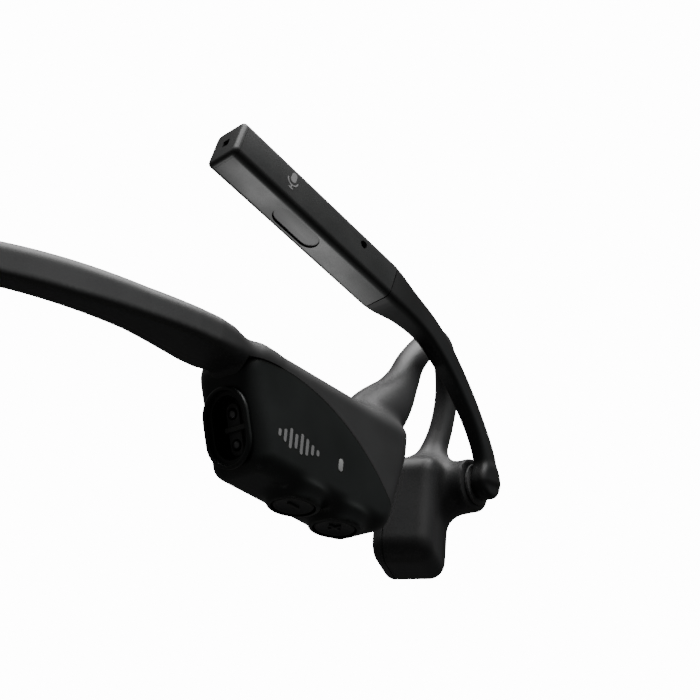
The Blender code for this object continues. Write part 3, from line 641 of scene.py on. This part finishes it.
def sample(field, low, high, step):
    """The field on a grid; far from its surface only the sign is kept."""
    size = 8
    blocks = np.ceil((np.array(high) - low) / (step * size)).astype(int)
    index = np.stack(np.meshgrid(*map(np.arange, blocks), indexing="ij"), -1).reshape(-1, 3)
    away = field(low + (index * size + (size - 1) / 2) * step)
    values = np.where(away < 0, -1.0, 1.0).astype(np.float32).reshape(blocks)
    for axis in range(3):
        values = np.repeat(values, size, axis=axis)
    near = index[np.abs(away) < step * size * 0.87 + 1.6]
    cell = np.stack(np.meshgrid(*[np.arange(size)] * 3, indexing="ij"), -1).reshape(-1, 3)
    for part in np.array_split(near, max(1, len(near) // 400)):
        spots = (part[:, None] * size + cell).reshape(-1, 3)
        values[tuple(spots.T)] = field(low + spots * step)
    return values


def surface(name, field, low, high, step):
    """A closed mesh of quads on the field's zero level, smoothed along the surface."""
    low = np.array(low, float)
    values = sample(field, low, high, step)
    inside = values < 0
    shape = np.array(values.shape)
    count = np.zeros(shape - 1, np.uint8)
    for corner in CORNERS:
        count += inside[tuple(slice(c, n - 1 + c) for c, n in zip(corner, shape))]
    cells = np.argwhere((count > 0) & (count < 8))
    level = np.stack([values[tuple((cells + c).T)] for c in CORNERS], 1)
    total, hits = np.zeros((len(cells), 3)), np.zeros(len(cells))
    for a, first in enumerate(CORNERS):
        for b, second in enumerate(CORNERS):
            if b <= a or sum(x != y for x, y in zip(first, second)) != 1:
                continue
            va, vb = level[:, a], level[:, b]
            cut = (va < 0) != (vb < 0)
            t = va[cut] / (va[cut] - vb[cut])
            total[cut] += np.array(first) + t[:, None] * (np.array(second) - np.array(first))
            hits[cut] += 1
    points = low + (cells + total / hits[:, None]) * step
    code = np.ravel_multi_index(cells.T, shape)
    quads = []
    for axis in range(3):
        nearer = [slice(None)] * 3
        further = [slice(None)] * 3
        nearer[axis], further[axis] = slice(0, -1), slice(1, None)
        spots = np.argwhere(inside[tuple(nearer)] != inside[tuple(further)])
        b, c = np.eye(3, dtype=int)[(axis + 1) % 3], np.eye(3, dtype=int)[(axis + 2) % 3]
        ring = [spots, spots - b, spots - b - c, spots - c]
        quad = np.stack([np.searchsorted(code, np.ravel_multi_index(r.T, shape)) for r in ring], 1)
        outward = inside[tuple(spots.T)]
        quads.append(np.where(outward[:, None], quad, quad[:, ::-1]))
    quads = np.vstack(quads)
    points = pull(field, points, 2)
    for _ in range(3):
        points = pull(field, relax(points, quads), 1)
    points = pull(field, points, 1)
    mesh = bpy.data.meshes.new(name)
    mesh.vertices.add(len(points))
    mesh.vertices.foreach_set("co", (points * MM).astype(np.float32).ravel())
    mesh.loops.add(quads.size)
    mesh.loops.foreach_set("vertex_index", quads.astype(np.int32).ravel())
    mesh.polygons.add(len(quads))
    mesh.polygons.foreach_set("loop_start", np.arange(0, quads.size, 4, dtype=np.int32))
    mesh.update(calc_edges=True)
    made = bpy.data.objects.new(name, mesh)
    bpy.context.scene.collection.objects.link(made)
    return made


def pull(field, points, times):
    """Moves points along the field's slope onto its zero level."""
    tiny = 0.02
    for _ in range(times):
        here = field(points)
        slope = np.stack([(field(points + tiny * e) - here) / tiny for e in np.eye(3)], 1)
        steep = np.maximum((slope**2).sum(1), 0.2)
        move = slope * (here / steep)[:, None]
        long = np.linalg.norm(move, axis=1, keepdims=True)
        points = points - move * np.minimum(1.0, 0.5 / np.maximum(long, 1e-9))
    return points


def relax(points, quads):
    """Moves each point half way to the middle of its neighbours."""
    first = quads.ravel()
    second = np.roll(quads, -1, axis=1).ravel()
    ends = np.concatenate((first, second))
    others = np.concatenate((second, first))
    number = np.bincount(ends, minlength=len(points))
    middle = np.stack([
        np.bincount(ends, weights=points[others, k], minlength=len(points)) / number for k in range(3)
    ], 1)
    return points + 0.5 * (middle - points)


# ---- materials ----------------------------------------------------------------------------------


def finish(name, colour, rough, grain, bump, change, wear, metallic=0.0, coat=0.0, spread=0.06):
    """A moulded or metal surface: fine grain, slow changes of tone and gloss, paler edges."""
    made = bpy.data.materials.new(name)
    made.use_nodes = True
    made.diffuse_color = (*colour, 1.0)
    nodes, links = made.node_tree.nodes, made.node_tree.links
    shader = nodes["Principled BSDF"]
    shader.inputs["Metallic"].default_value = metallic
    if coat:
        shader.inputs["Coat Weight"].default_value = coat
        shader.inputs["Coat Roughness"].default_value = 0.25
    place = nodes.new("ShaderNodeTexCoord").outputs["Object"]

    def noise(scale, detail):
        node = nodes.new("ShaderNodeTexNoise")
        node.inputs["Scale"].default_value = scale
        node.inputs["Detail"].default_value = detail
        links.new(place, node.inputs["Vector"])
        return node.outputs["Fac"]

    def ranged(source, low, high, to_low, to_high):
        node = nodes.new("ShaderNodeMapRange")
        for key, value in (("From Min", low), ("From Max", high), ("To Min", to_low), ("To Max", to_high)):
            node.inputs[key].default_value = value
        links.new(source, node.inputs["Value"])
        return node.outputs["Result"]

    def mixed(share, first, second):
        node = nodes.new("ShaderNodeMix")
        node.data_type = "RGBA"
        links.new(share, node.inputs[0])
        for socket, value in ((node.inputs[6], first), (node.inputs[7], second)):
            if isinstance(value, tuple):
                socket.default_value = (*value, 1.0)
            else:
                links.new(value, socket)
        return node.outputs[2]

    slow = noise(110.0, 4.0)
    fine = noise(1.0 / (grain * MM), 3.0)
    dark = tuple(c * (1 - change) for c in colour)
    pale = tuple(c * (1 + change) for c in colour)
    tone = mixed(ranged(slow, 0.35, 0.65, 0.0, 1.0), dark, pale)
    speck = mixed(ranged(fine, 0.3, 0.75, 0.0, 0.35), tone, tuple(c * 1.35 + 0.002 for c in colour))
    edge = ranged(nodes.new("ShaderNodeNewGeometry").outputs["Pointiness"], 0.53, 0.64, 0.0, wear)
    worn = tuple(min(1.0, c * 1.9 + 0.03) for c in colour)
    links.new(mixed(edge, speck, worn), shader.inputs["Base Color"])
    links.new(ranged(slow, 0.3, 0.7, rough - spread, rough + spread), shader.inputs["Roughness"])
    bumps = nodes.new("ShaderNodeBump")
    bumps.inputs["Strength"].default_value = bump
    bumps.inputs["Distance"].default_value = 0.02 * MM
    links.new(fine, bumps.inputs["Height"])
    links.new(bumps.outputs["Normal"], shader.inputs["Normal"])
    return made


FINISHES = {
    "silicone": finish("silicone", (0.036, 0.036, 0.0365), 0.5, 0.16, 0.35, 0.1, 0.15),
    "hard_black": finish("hard_black", (0.0115, 0.0137, 0.013), 0.38, 0.11, 0.25, 0.1, 0.12),
    "button_black": finish("button_black", (0.018, 0.019, 0.019), 0.42, 0.13, 0.3, 0.1, 0.2),
    "mute_grey": finish("mute_grey", (0.09, 0.09, 0.091), 0.5, 0.12, 0.3, 0.08, 0.15),
    "light_window": finish("light_window", (0.38, 0.385, 0.38), 0.3, 0.3, 0.1, 0.05, 0.0, coat=0.4),
    "spring_steel": finish("spring_steel", (0.55, 0.54, 0.52), 0.3, 0.08, 0.4, 0.1, 0.1, 1.0),
    "magnet": finish("magnet", (0.6, 0.6, 0.62), 0.24, 0.1, 0.3, 0.08, 0.1, 1.0),
    "copper": finish("copper", (0.72, 0.4, 0.25), 0.34, 0.12, 0.8, 0.12, 0.1, 1.0),
    "contact": finish("contact", (0.2, 0.2, 0.205), 0.42, 0.06, 0.3, 0.15, 0.3, 1.0),
    "board_green": finish("board_green", (0.03, 0.16, 0.08), 0.45, 0.35, 0.5, 0.2, 0.1, coat=0.3),
    "module_metal": finish("module_metal", (0.7, 0.7, 0.7), 0.34, 0.1, 0.3, 0.08, 0.1, 1.0),
    "battery_wrap": finish("battery_wrap", (0.5, 0.52, 0.55), 0.38, 0.6, 0.3, 0.1, 0.05),
    "cable_jacket": finish("cable_jacket", (0.1, 0.1, 0.1), 0.6, 0.1, 0.3, 0.1, 0.1),
    "mesh_black": finish("mesh_black", (0.02, 0.02, 0.02), 0.7, 0.12, 1.0, 0.3, 0.1),
    "print_grey": finish("print_grey", (0.25, 0.25, 0.25), 0.5, 0.1, 0.3, 0.06, 0.0),
    # A darker copy of the silicone for the boom arm: painted shade on the arm, not a colour of its own.
    "arm_silicone_painted_shade": finish("arm_silicone_painted_shade", (0.0135, 0.014, 0.014), 0.5, 0.14, 0.3, 0.1, 0.12),
    "port_black": finish("port_black", (0.075, 0.077, 0.076), 0.5, 0.11, 0.25, 0.1, 0.15),
    # A paler copy of the hard black for the wand: painted light from below on the wand, not a colour of its
    # own.
    "wand_plastic_painted_light": finish("wand_plastic_painted_light", (0.018, 0.0187, 0.0187), 0.45, 0.12, 0.3, 0.1, 0.12),
}


def piece(obj, body, slot, *nodes, angle=32.0, look=None):
    """Finishes a piece: smooth shading, material, the body it moves with and what it stands for."""
    obj.data.materials.clear()
    obj.data.materials.append(FINISHES[look or slot])
    obj.data.shade_smooth()
    obj.data.set_sharp_from_angle(angle=math.radians(angle))
    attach(obj, body)
    if nodes:
        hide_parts(*nodes)
    return obj


# ---- soft skin ----------------------------------------------------------------------------------


def seam_region(shift, edge):
    """Outline of all that lies between the seam, moved down by shift, and a far edge."""
    curve = bezier(SEAM_HANDLES, 40)
    points = [Vector((x, y - shift)) for x, y in curve]
    points.insert(0, Vector((-BEYOND, points[0].y)))
    points.append(Vector((BEYOND, points[-1].y - (BEYOND - points[-1].x))))
    points.append(Vector((BEYOND, edge)))
    points.append(Vector((-BEYOND, edge)))
    return points


def pod_outline(inset):
    return rounded_outline(inset_corners(POD_CORNERS, inset))


def pod_room(wall):
    """The room a wall's thickness inside a pod, its edges rounded like those outside."""
    edge = POD_EDGE - wall
    low, high = -POD_THICKNESS + wall, -wall
    turns = [k * math.pi / 8 for k in range(5)]
    steps = [(edge * (1 - math.sin(turn)), edge * (1 - math.cos(turn))) for turn in turns]
    outlines = [pod_outline(wall + inset) for inset, _ in (*steps, *reversed(steps))]
    places = [low + depth for _, depth in steps] + [high - depth for _, depth in reversed(steps)]
    return swept(outlines, places, "out")


def path_points(rows, side):
    return [world(side, *row[:3]) for row in rows]


def make_skin():
    """One soft skin, cut along the seams, with room for the parts inside."""
    skin = surface("silicone_skin", skin_field, (-72.5, -68.5, -1.0), (72.5, 67.5, 53.0), GRID)
    tools = []
    for side in (RIGHT, LEFT):
        pod, motor = pod_frame(side), transducer_frame(side)
        below = solid("below", prism(seam_region(0.0, -30.0), -15.0, 3.0), pod)
        outline = solid("outline", prism(pod_outline(-0.06), -14.0, 2.0), pod)
        tools.append(combine(below, [outline], "INTERSECT"))
        tools.append(solid("cavity", pod_room(CAVITY_WALL), pod))
        cheek = block((-BEYOND, PAD_JOINT + PAD_GAP), (-8, 8), (-10.5, 10.5))
        tools.append(solid("cheek_side", cheek, motor))
        room = rectangle(TRANSDUCER_WIDE, TRANSDUCER_TALL, TRANSDUCER_CORNER)
        reach = TRANSDUCER_THICK / 2 - 1.2
        hollow = prism(rounded_outline(inset_corners(room, 1.2)), PAD_JOINT - 1.0, reach)
        tools.append(solid("hollow", hollow, motor))
        inner_rows = HOOK_ROWS[2:]
        tools.append(solid("hook_bore", tube(path_points(inner_rows, side), HOOK_BORE)))
    button_hole = prism(circle(MULTI_BUTTON_RADIUS + 0.15), TRANSDUCER_THICK / 2 - 3, TRANSDUCER_THICK)
    tools.append(solid("button_hole", button_hole, transducer_frame(LEFT)))
    pin_hole = prism(circle(1.5), -12.0, 8.0)
    tools.append(solid("pin_hole", pin_hole, local_frame(RIGHT, PIVOT, 0.0)))
    path = band_points(40)
    right = [Vector((-x, FORWARD_MIDDLE - f, BASE_HEIGHT + h)) for x, f, h in path]
    left = [Vector((-p.x, p.y, p.z)) for p in reversed(right[:-1])]
    ahead = (right[0] - right[1]).normalized() * 4.0
    behind = Vector((-ahead.x, ahead.y, ahead.z))
    tools.append(solid("band_bore", tube([right[0] + ahead, *right, *left, left[-1] + behind], BAND_BORE)))
    combine(skin, tools)
    piece(
        skin, "headset", "silicone", "band_sleeve", "right_pod_skin", "left_pod_skin",
        "right_hook_sleeve", "left_hook_sleeve", "right_transducer_housing",
        "left_transducer_housing", "boom_pivot_boss",
    )


def make_cheek_pads():
    for side in (RIGHT, LEFT):
        name = f"{SIDE_NAMES[side]}_cheek_cushion"
        outline = rounded_outline(rectangle(TRANSDUCER_WIDE, TRANSDUCER_TALL, TRANSDUCER_CORNER), 10)
        low = -TRANSDUCER_THICK / 2
        pad = prism(outline, low, PAD_JOINT - PAD_GAP, "out", 2.0, 0.0, 8)
        bmesh.ops.triangulate(pad, faces=[f for f in pad.faces if len(f.verts) > 4])
        made = solid(name, pad, transducer_frame(side))
        piece(made, "headset", "silicone", f"{SIDE_NAMES[side]}_cheek_pad")


# ---- pods ---------------------------------------------------------------------------------------


def make_pod_shells():
    """Hard covers below the seam, each with a lid on the side towards the head."""
    for side in (RIGHT, LEFT):
        name = SIDE_NAMES[side]
        pod = pod_frame(side)
        near, far = sorted((side * 52.0, side * 73.5))
        low, high = (near, -39.5, -1.5), (far, 9.5, 23.0)
        whole = surface(f"{name}_hard_cover", shell_field(side), low, high, GRID * 0.85)
        tools = [
            solid("above", prism(seam_region(SEAM_LINE, 30.0), -15.0, 3.0), pod),
            solid("cavity", pod_room(CAVITY_WALL), pod),
        ]
        if side == RIGHT:
            hole = prism(oblong(PORT_WIDTH - 1.4, PORT_HEIGHT - 1.4), -6.0, 4.0, "up")
            tools.append(solid("port_hole", hole, port_frame()))
            hole = prism(oblong(LIGHT_WIDTH + 0.12, LIGHT_HEIGHT + 0.12, *LIGHT_PLACE), -3.0, 2.0)
            tools.append(solid("light_hole", hole, pod))
            for forward in VOLUME_BUTTONS.values():
                hole = prism(circle(VOLUME_RADIUS + 0.22, VOLUME_OUT, forward), -14.0, -6.0, "up")
                tools.append(solid("button_hole", hole, pod))
        combine(whole, tools)
        lid = whole.copy()
        lid.data = whole.data.copy()
        lid.name = f"{name}_hard_lid"
        bpy.context.scene.collection.objects.link(lid)
        lid_side = block((-BEYOND, LID_FACE + LID_GAP), (-40, 40), (-40, 40))
        cover_side = block((LID_FACE - LID_GAP, BEYOND), (-40, 40), (-40, 40))
        combine(whole, [solid("lid_side", lid_side, pod)])
        combine(lid, [solid("cover_side", cover_side, pod)])
        piece(whole, "headset", "hard_black", f"{name}_pod_shell")
        piece(lid, "headset", "hard_black", f"{name}_pod_lid")


def make_pod_frames():
    """Thin hard frames under the skin of both pods."""
    for side in (RIGHT, LEFT):
        name = SIDE_NAMES[side]
        pod = pod_frame(side)
        inner = solid(f"{name}_inner_frame", pod_room(FRAME_FACE), pod)
        below = prism(seam_region(0.0, -30.0), -15.0, 3.0)
        hollow = pod_room(FRAME_FACE + FRAME_WALL)
        combine(inner, [solid("below", below, pod), solid("hollow", hollow, pod)])
        piece(inner, "headset", "hard_black", f"{name}_pod_frame")


def make_volume_buttons():
    for name, forward in VOLUME_BUTTONS.items():
        face = -BASE_HEIGHT + 0.1
        rings, levels = [], []
        for radius, level in (
            (0.9, face + 2.6), (0.95, face + 1.6), (VOLUME_RADIUS, face + 1.5), (VOLUME_RADIUS, face + 0.3),
            (VOLUME_RADIUS - 0.1, face + 0.1), (VOLUME_RADIUS - 0.3, face),
            (VOLUME_RADIUS - 0.75, face + 0.08), (VOLUME_RADIUS - 1.2, face + 0.22), (0.6, face + 0.3),
        ):
            rings.append(circle(radius, VOLUME_OUT, forward))
            levels.append(level)
        button = solid(f"{name}_cap", swept(rings, levels), pod_frame(RIGHT))
        bars = [(2.5, 0.55)] if name == "volume_down" else [(2.5, 0.55), (0.55, 2.5)]
        marks = []
        for along, across in bars:
            bar = prism(
                rounded_outline(rectangle(across, along, 0.26, VOLUME_OUT, forward)),
                face + 0.02, face + 0.6, "up", 0.12, 0.0, 2,
            )
            marks.append(solid("bar", bar, pod_frame(RIGHT)))
        combine(button, marks, "UNION")
        piece(button, f"{name}_button", "button_black", f"{name}_button")


def make_charging_port():
    """Rim, floor with its contact strip and rib, and two domed contacts."""
    place = port_frame()
    profile = (
        (-2.0, -2.6), (-2.0, -2.0), (-1.42, -2.0), (-1.42, 0.08), (-0.18, 0.1), (-0.02, 0.28), (0.0, 0.5),
        (-0.05, 0.72), (-0.22, 0.86), (-0.45, 0.9), (-0.62, 0.84), (-0.72, 0.68), (-0.78, 0.4),
        (-1.2, -1.9), (-1.2, -2.6),
    )
    bm = bmesh.new()
    rings = []
    for inset, level in profile:
        outline = oblong(PORT_WIDTH + 2 * inset, PORT_HEIGHT + 2 * inset, steps=12)
        rings.append([bm.verts.new((p.x, p.y, level)) for p in outline])
    bridge(bm, [*rings, rings[0]])
    piece(solid("port_rim", bm, place), "headset", "hard_black", "charge_port_bezel")

    inner_width, inner_height = PORT_WIDTH - 2.6, PORT_HEIGHT - 2.6
    top = -2.6
    plate = prism(oblong(inner_width + 0.6, inner_height + 0.6), top - 1.2, top - 0.05, "up")
    floor = solid("port_floor", plate, place)
    strip = prism(oblong(2.5, 8.0, CONTACT_ACROSS), top - 0.5, top + 0.5, "up", 0.0, 0.15, 3)
    rib = prism(rounded_outline(rectangle(5.2, 0.85, 0.3, 0.3)), top - 0.5, top + 1.15, "up", 0.0, 0.18, 3)
    combine(floor, [solid("strip", strip, place), solid("rib", rib, place)], "UNION")
    for level in CONTACT_LEVELS.values():
        pit = prism(circle(0.95, CONTACT_ACROSS, level), top - 3, top + 2, "up")
        combine(floor, [solid("pit", pit, place)])
    piece(floor, "headset", "hard_black", "charge_port_block", look="port_black")
    for name, level in CONTACT_LEVELS.items():
        rings, levels = [], []
        for turn in range(7):
            angle = turn * math.pi / 14
            rings.append(circle(0.8 * math.cos(angle), CONTACT_ACROSS, level, 32))
            levels.append(top + 0.45 + 0.55 * math.sin(angle))
        rings[-1] = circle(0.04, CONTACT_ACROSS, level, 32)
        rings.insert(0, circle(0.8, CONTACT_ACROSS, level, 32))
        levels.insert(0, top - 1.0)
        pin = solid(f"port_contact_{name}", swept(rings, levels), place)
        piece(pin, "headset", "contact", f"charge_contact_{name}")


def make_marks():
    """Status window, level bars on the cover, and a microphone sign on the wand."""
    pod = pod_frame(RIGHT)
    window = prism(oblong(LIGHT_WIDTH, LIGHT_HEIGHT, *LIGHT_PLACE), -1.6, 0.03, "out", 0.0, 0.08, 3)
    piece(solid("status_window", window, pod), "headset", "light_window", "status_light_window")
    heights = (1.2, 2.1, 3.3, 2.4, 3.4, 2.7, 1.7, 1.0)
    for i, height in enumerate(heights):
        forward = -8.9 + i * 1.24
        bar = prism(oblong(0.62, height, forward, -2.3, 4), -0.02, 0.03)
        piece(solid(f"level_bar_{i + 1}", bar, pod), "headset", "light_window", look="print_grey")

    place = wand_frame()
    along = 12.0
    face = WAND_WIDE / 2 * flare_at(along, (WAND_TIP - WAND_ROOT).length)

    def printed(name, outline):
        made = solid(name, prism(outline, face - 0.02, face + 0.03), place)
        piece(made, "boom", "light_window", look="print_grey")

    up = 0.75
    printed("sign_capsule", oblong(2.0, 1.15, up + 0.55, along, 6))
    turns = np.radians(np.linspace(-90.0, 90.0, 13))
    arc = [(0.95, -turn) for turn in turns] + [(1.22, turn) for turn in turns]
    cradle = [Vector((up - r * math.cos(turn), along + r * math.sin(turn))) for r, turn in arc]
    printed("sign_cradle", cradle)
    printed("sign_stem", rounded_outline(rectangle(0.5, 0.27, 0.02, up - 1.42, along), 2))
    printed("sign_foot", oblong(0.27, 1.0, up - 1.75, along, 4))


# ---- transducer button and boom -----------------------------------------------------------------


def make_multifunction_button():
    outer = TRANSDUCER_THICK / 2
    rings, levels = [], []
    for radius, level in (
        (3.6, outer - 0.95), (3.6, outer - 0.35), (3.5, outer - 0.17), (3.3, outer - 0.1),
        (2.95, outer - 0.1), (2.8, outer - 0.2), (2.4, outer - 0.3), (1.2, outer - 0.38),
        (0.3, outer - 0.4),
    ):
        rings.append(circle(radius))
        levels.append(level)
    made = solid("multifunction_cap", swept(rings, levels, "out"), transducer_frame(LEFT))
    piece(made, "multifunction_button", "button_black", "multifunction_button")


def flare_at(from_tip, length):
    """How much larger the wand is at a distance from its tip than at its root."""
    return 1.0 + WAND_FLARE * (1.0 - from_tip / length)


def flared(bm, length):
    """Widens a solid along the wand towards the tip."""
    for vert in bm.verts:
        scale = flare_at(vert.co.z, length)
        vert.co.x *= scale
        vert.co.y *= scale
    return bm


def make_boom():
    place = wand_frame()
    length = (WAND_TIP - WAND_ROOT).length
    arm = surface("boom_arm_cover", arm_field, (-73.5, -65.5, 17.5), (-62.0, -21.5, 53.0), GRID * 0.7)
    hub = local_frame(RIGHT, PIVOT, 0.0)
    wand_side = prism(rounded_outline(rectangle(20.0, 20.0, 1.0)), -BEYOND, length + SEAM_LINE, "up")
    tools = [
        solid("wand_side", wand_side, place),
        solid("pin_hole", prism(circle(1.28), -10.0, ARM_HALF_THICK - 0.6), hub),
        solid("cable_bore", tube(path_points(ARM_ROWS[12:50], RIGHT), 0.6, 8)),
    ]
    combine(arm, tools)
    # The arm takes the darker copy of the silicone, which is painted shade.
    piece(arm, "boom", "silicone", "boom_arm", look="arm_silicone_painted_shade")

    half = WAND_WIDE / 2
    lower = -WAND_TALL / 2 * flare_at(MUTE_FROM_TIP, length)
    section = rectangle(WAND_WIDE, WAND_TALL, WAND_CORNER)
    outside = prism(rounded_outline(section), END_CAP + 0.02, length - SEAM_LINE, "up")
    shell = solid("wand_cover", flared(outside, length), place)
    cavity = rounded_outline(inset_corners(section, WAND_WALL), 4)
    hollow = flared(prism(cavity, -5.0, length - 1.6, "up"), length)
    slot_outline = oblong(MUTE_WIDTH + 0.24, MUTE_LENGTH + 0.24, 0.0, MUTE_FROM_TIP)
    slot = prism(slot_outline, lower - 2, lower + 1.5, "forward")
    pinhole = prism(circle(0.72, 0.0, 0.0, 24), half - 2, half + 2)
    bmesh.ops.translate(pinhole, vec=(0.0, 1.2, 28.9), verts=pinhole.verts)
    tools = (("hollow", hollow), ("slot", slot), ("hole", pinhole))
    combine(shell, [solid(name, bm, place) for name, bm in tools])
    # The wand cover takes the paler copy of the hard black, which is painted light.
    piece(shell, "boom", "hard_black", "wand_shell", look="wand_plastic_painted_light")

    outlines, levels = [], []
    edge = 0.7
    for k in range(7):
        turn = k * math.pi / 12
        outlines.append(rounded_outline(inset_corners(section, edge * (1 - math.sin(turn)))))
        levels.append(edge * (1 - math.cos(turn)))
    outlines.append(rounded_outline(section))
    levels.append(END_CAP - 0.02)
    cap = solid("wand_tip", flared(swept(outlines, levels), length), place)
    hole = prism(rounded_outline(rectangle(1.5, 1.5, 0.15), 3), -2.0, 3.0, "up")
    combine(cap, [solid("hole", hole, place)])
    # The end cap takes the same paler copy of the hard black, which is painted light.
    piece(cap, "boom", "hard_black", "wand_end_cap", look="wand_plastic_painted_light")

    face = lower + MUTE_SUNK
    outline = oblong(MUTE_WIDTH, MUTE_LENGTH, 0.0, MUTE_FROM_TIP)
    button = prism(outline, face, face + 1.3, "forward", 0.2, 0.0, 4)
    piece(solid("mute_cap", button, place), "mute_button", "mute_grey", "mute_button")


# ---- stage --------------------------------------------------------------------------------------


def make_camera():
    back = Vector((-0.535, 0.707, -0.461)).normalized()
    up = Vector((-0.206, 0.421, 0.884))
    right = up.cross(back).normalized()
    up = back.cross(right)
    data = bpy.data.cameras.new("camera")
    data.lens = 100.285714
    data.sensor_width = 36.0
    data.clip_start = 0.01
    camera = bpy.data.objects.new("camera", data)
    turn = Matrix((right, up, back)).transposed().to_4x4()
    turn.translation = Vector((-0.2340, 0.1993, -0.1140))
    camera.matrix_world = turn
    bpy.context.scene.collection.objects.link(camera)
    bpy.context.scene.camera = camera


def make_lamp(name, place, target, width, height, power, spread=180.0):
    data = bpy.data.lights.new(name, "AREA")
    data.shape = "RECTANGLE"
    data.size, data.size_y = width, height
    data.energy = power
    data.spread = math.radians(spread)
    lamp = bpy.data.objects.new(name, data)
    lamp.location = place
    lamp.visible_camera = False
    lamp.rotation_mode = "QUATERNION"
    lamp.rotation_quaternion = (Vector(target) - Vector(place)).to_track_quat("-Z", "Y")
    bpy.context.scene.collection.objects.link(lamp)
    return lamp


def make_world():
    """White behind the object; soft light from above and little from below."""
    made = bpy.data.worlds.new("studio")
    bpy.context.scene.world = made
    made.use_nodes = True
    nodes, links = made.node_tree.nodes, made.node_tree.links
    shade = nodes["Background"]
    way = nodes.new("ShaderNodeSeparateXYZ")
    links.new(nodes.new("ShaderNodeTexCoord").outputs["Generated"], way.inputs[0])
    level = nodes.new("ShaderNodeMapRange")
    level.interpolation_type = "SMOOTHSTEP"
    for key, value in (("From Min", -0.1), ("From Max", 0.7), ("To Min", 1.3), ("To Max", 2.4)):
        level.inputs[key].default_value = value
    links.new(way.outputs[2], level.inputs["Value"])
    links.new(level.outputs["Result"], shade.inputs["Strength"])
    white = nodes.new("ShaderNodeBackground")
    white.inputs["Strength"].default_value = 14.0
    white.inputs["Color"].default_value = (1.0, 1.0, 1.0, 1.0)
    mix = nodes.new("ShaderNodeMixShader")
    links.new(nodes.new("ShaderNodeLightPath").outputs["Is Camera Ray"], mix.inputs[0])
    links.new(shade.outputs[0], mix.inputs[1])
    links.new(white.outputs[0], mix.inputs[2])
    links.new(mix.outputs[0], nodes["World Output"].inputs["Surface"])


def make_floor():
    bm = bmesh.new()
    bmesh.ops.create_circle(bm, cap_ends=True, segments=96, radius=0.14)
    mesh = bpy.data.meshes.new("floor")
    bm.to_mesh(mesh)
    bm.free()
    floor = bpy.data.objects.new("floor", mesh)
    floor.location = (0.0, 0.0, -0.9)
    bpy.context.scene.collection.objects.link(floor)
    paint = bpy.data.materials.new("floor")
    paint.use_nodes = True
    shader = paint.node_tree.nodes["Principled BSDF"]
    shader.inputs["Base Color"].default_value = (0.8, 0.8, 0.8, 1.0)
    shader.inputs["Roughness"].default_value = 0.9
    mesh.materials.append(paint)


# ---- everything ---------------------------------------------------------------------------------


make_camera()
make_world()
make_floor()
make_skin()
make_cheek_pads()
make_pod_shells()
make_pod_frames()
make_volume_buttons()
make_charging_port()
make_multifunction_button()
make_boom()
make_marks()

slots = {row["node"]: row["material_slot"] for row in frame["record"]["subparts"]}
for name, node in frame["nodes"].items():
    if node.hide_render:
        continue
    node.data.materials.clear()
    node.data.materials.append(FINISHES[slots[name]])

make_lamp("top_light", (-0.15, 0.05, 0.55), (-0.04, -0.02, 0.02), 0.6, 0.6, 8.0)
make_lamp("wand_light", (-0.040, -0.019, 0.012), (-0.0695, -0.013, 0.049), 0.04, 0.01, 0.0024, 64.0)
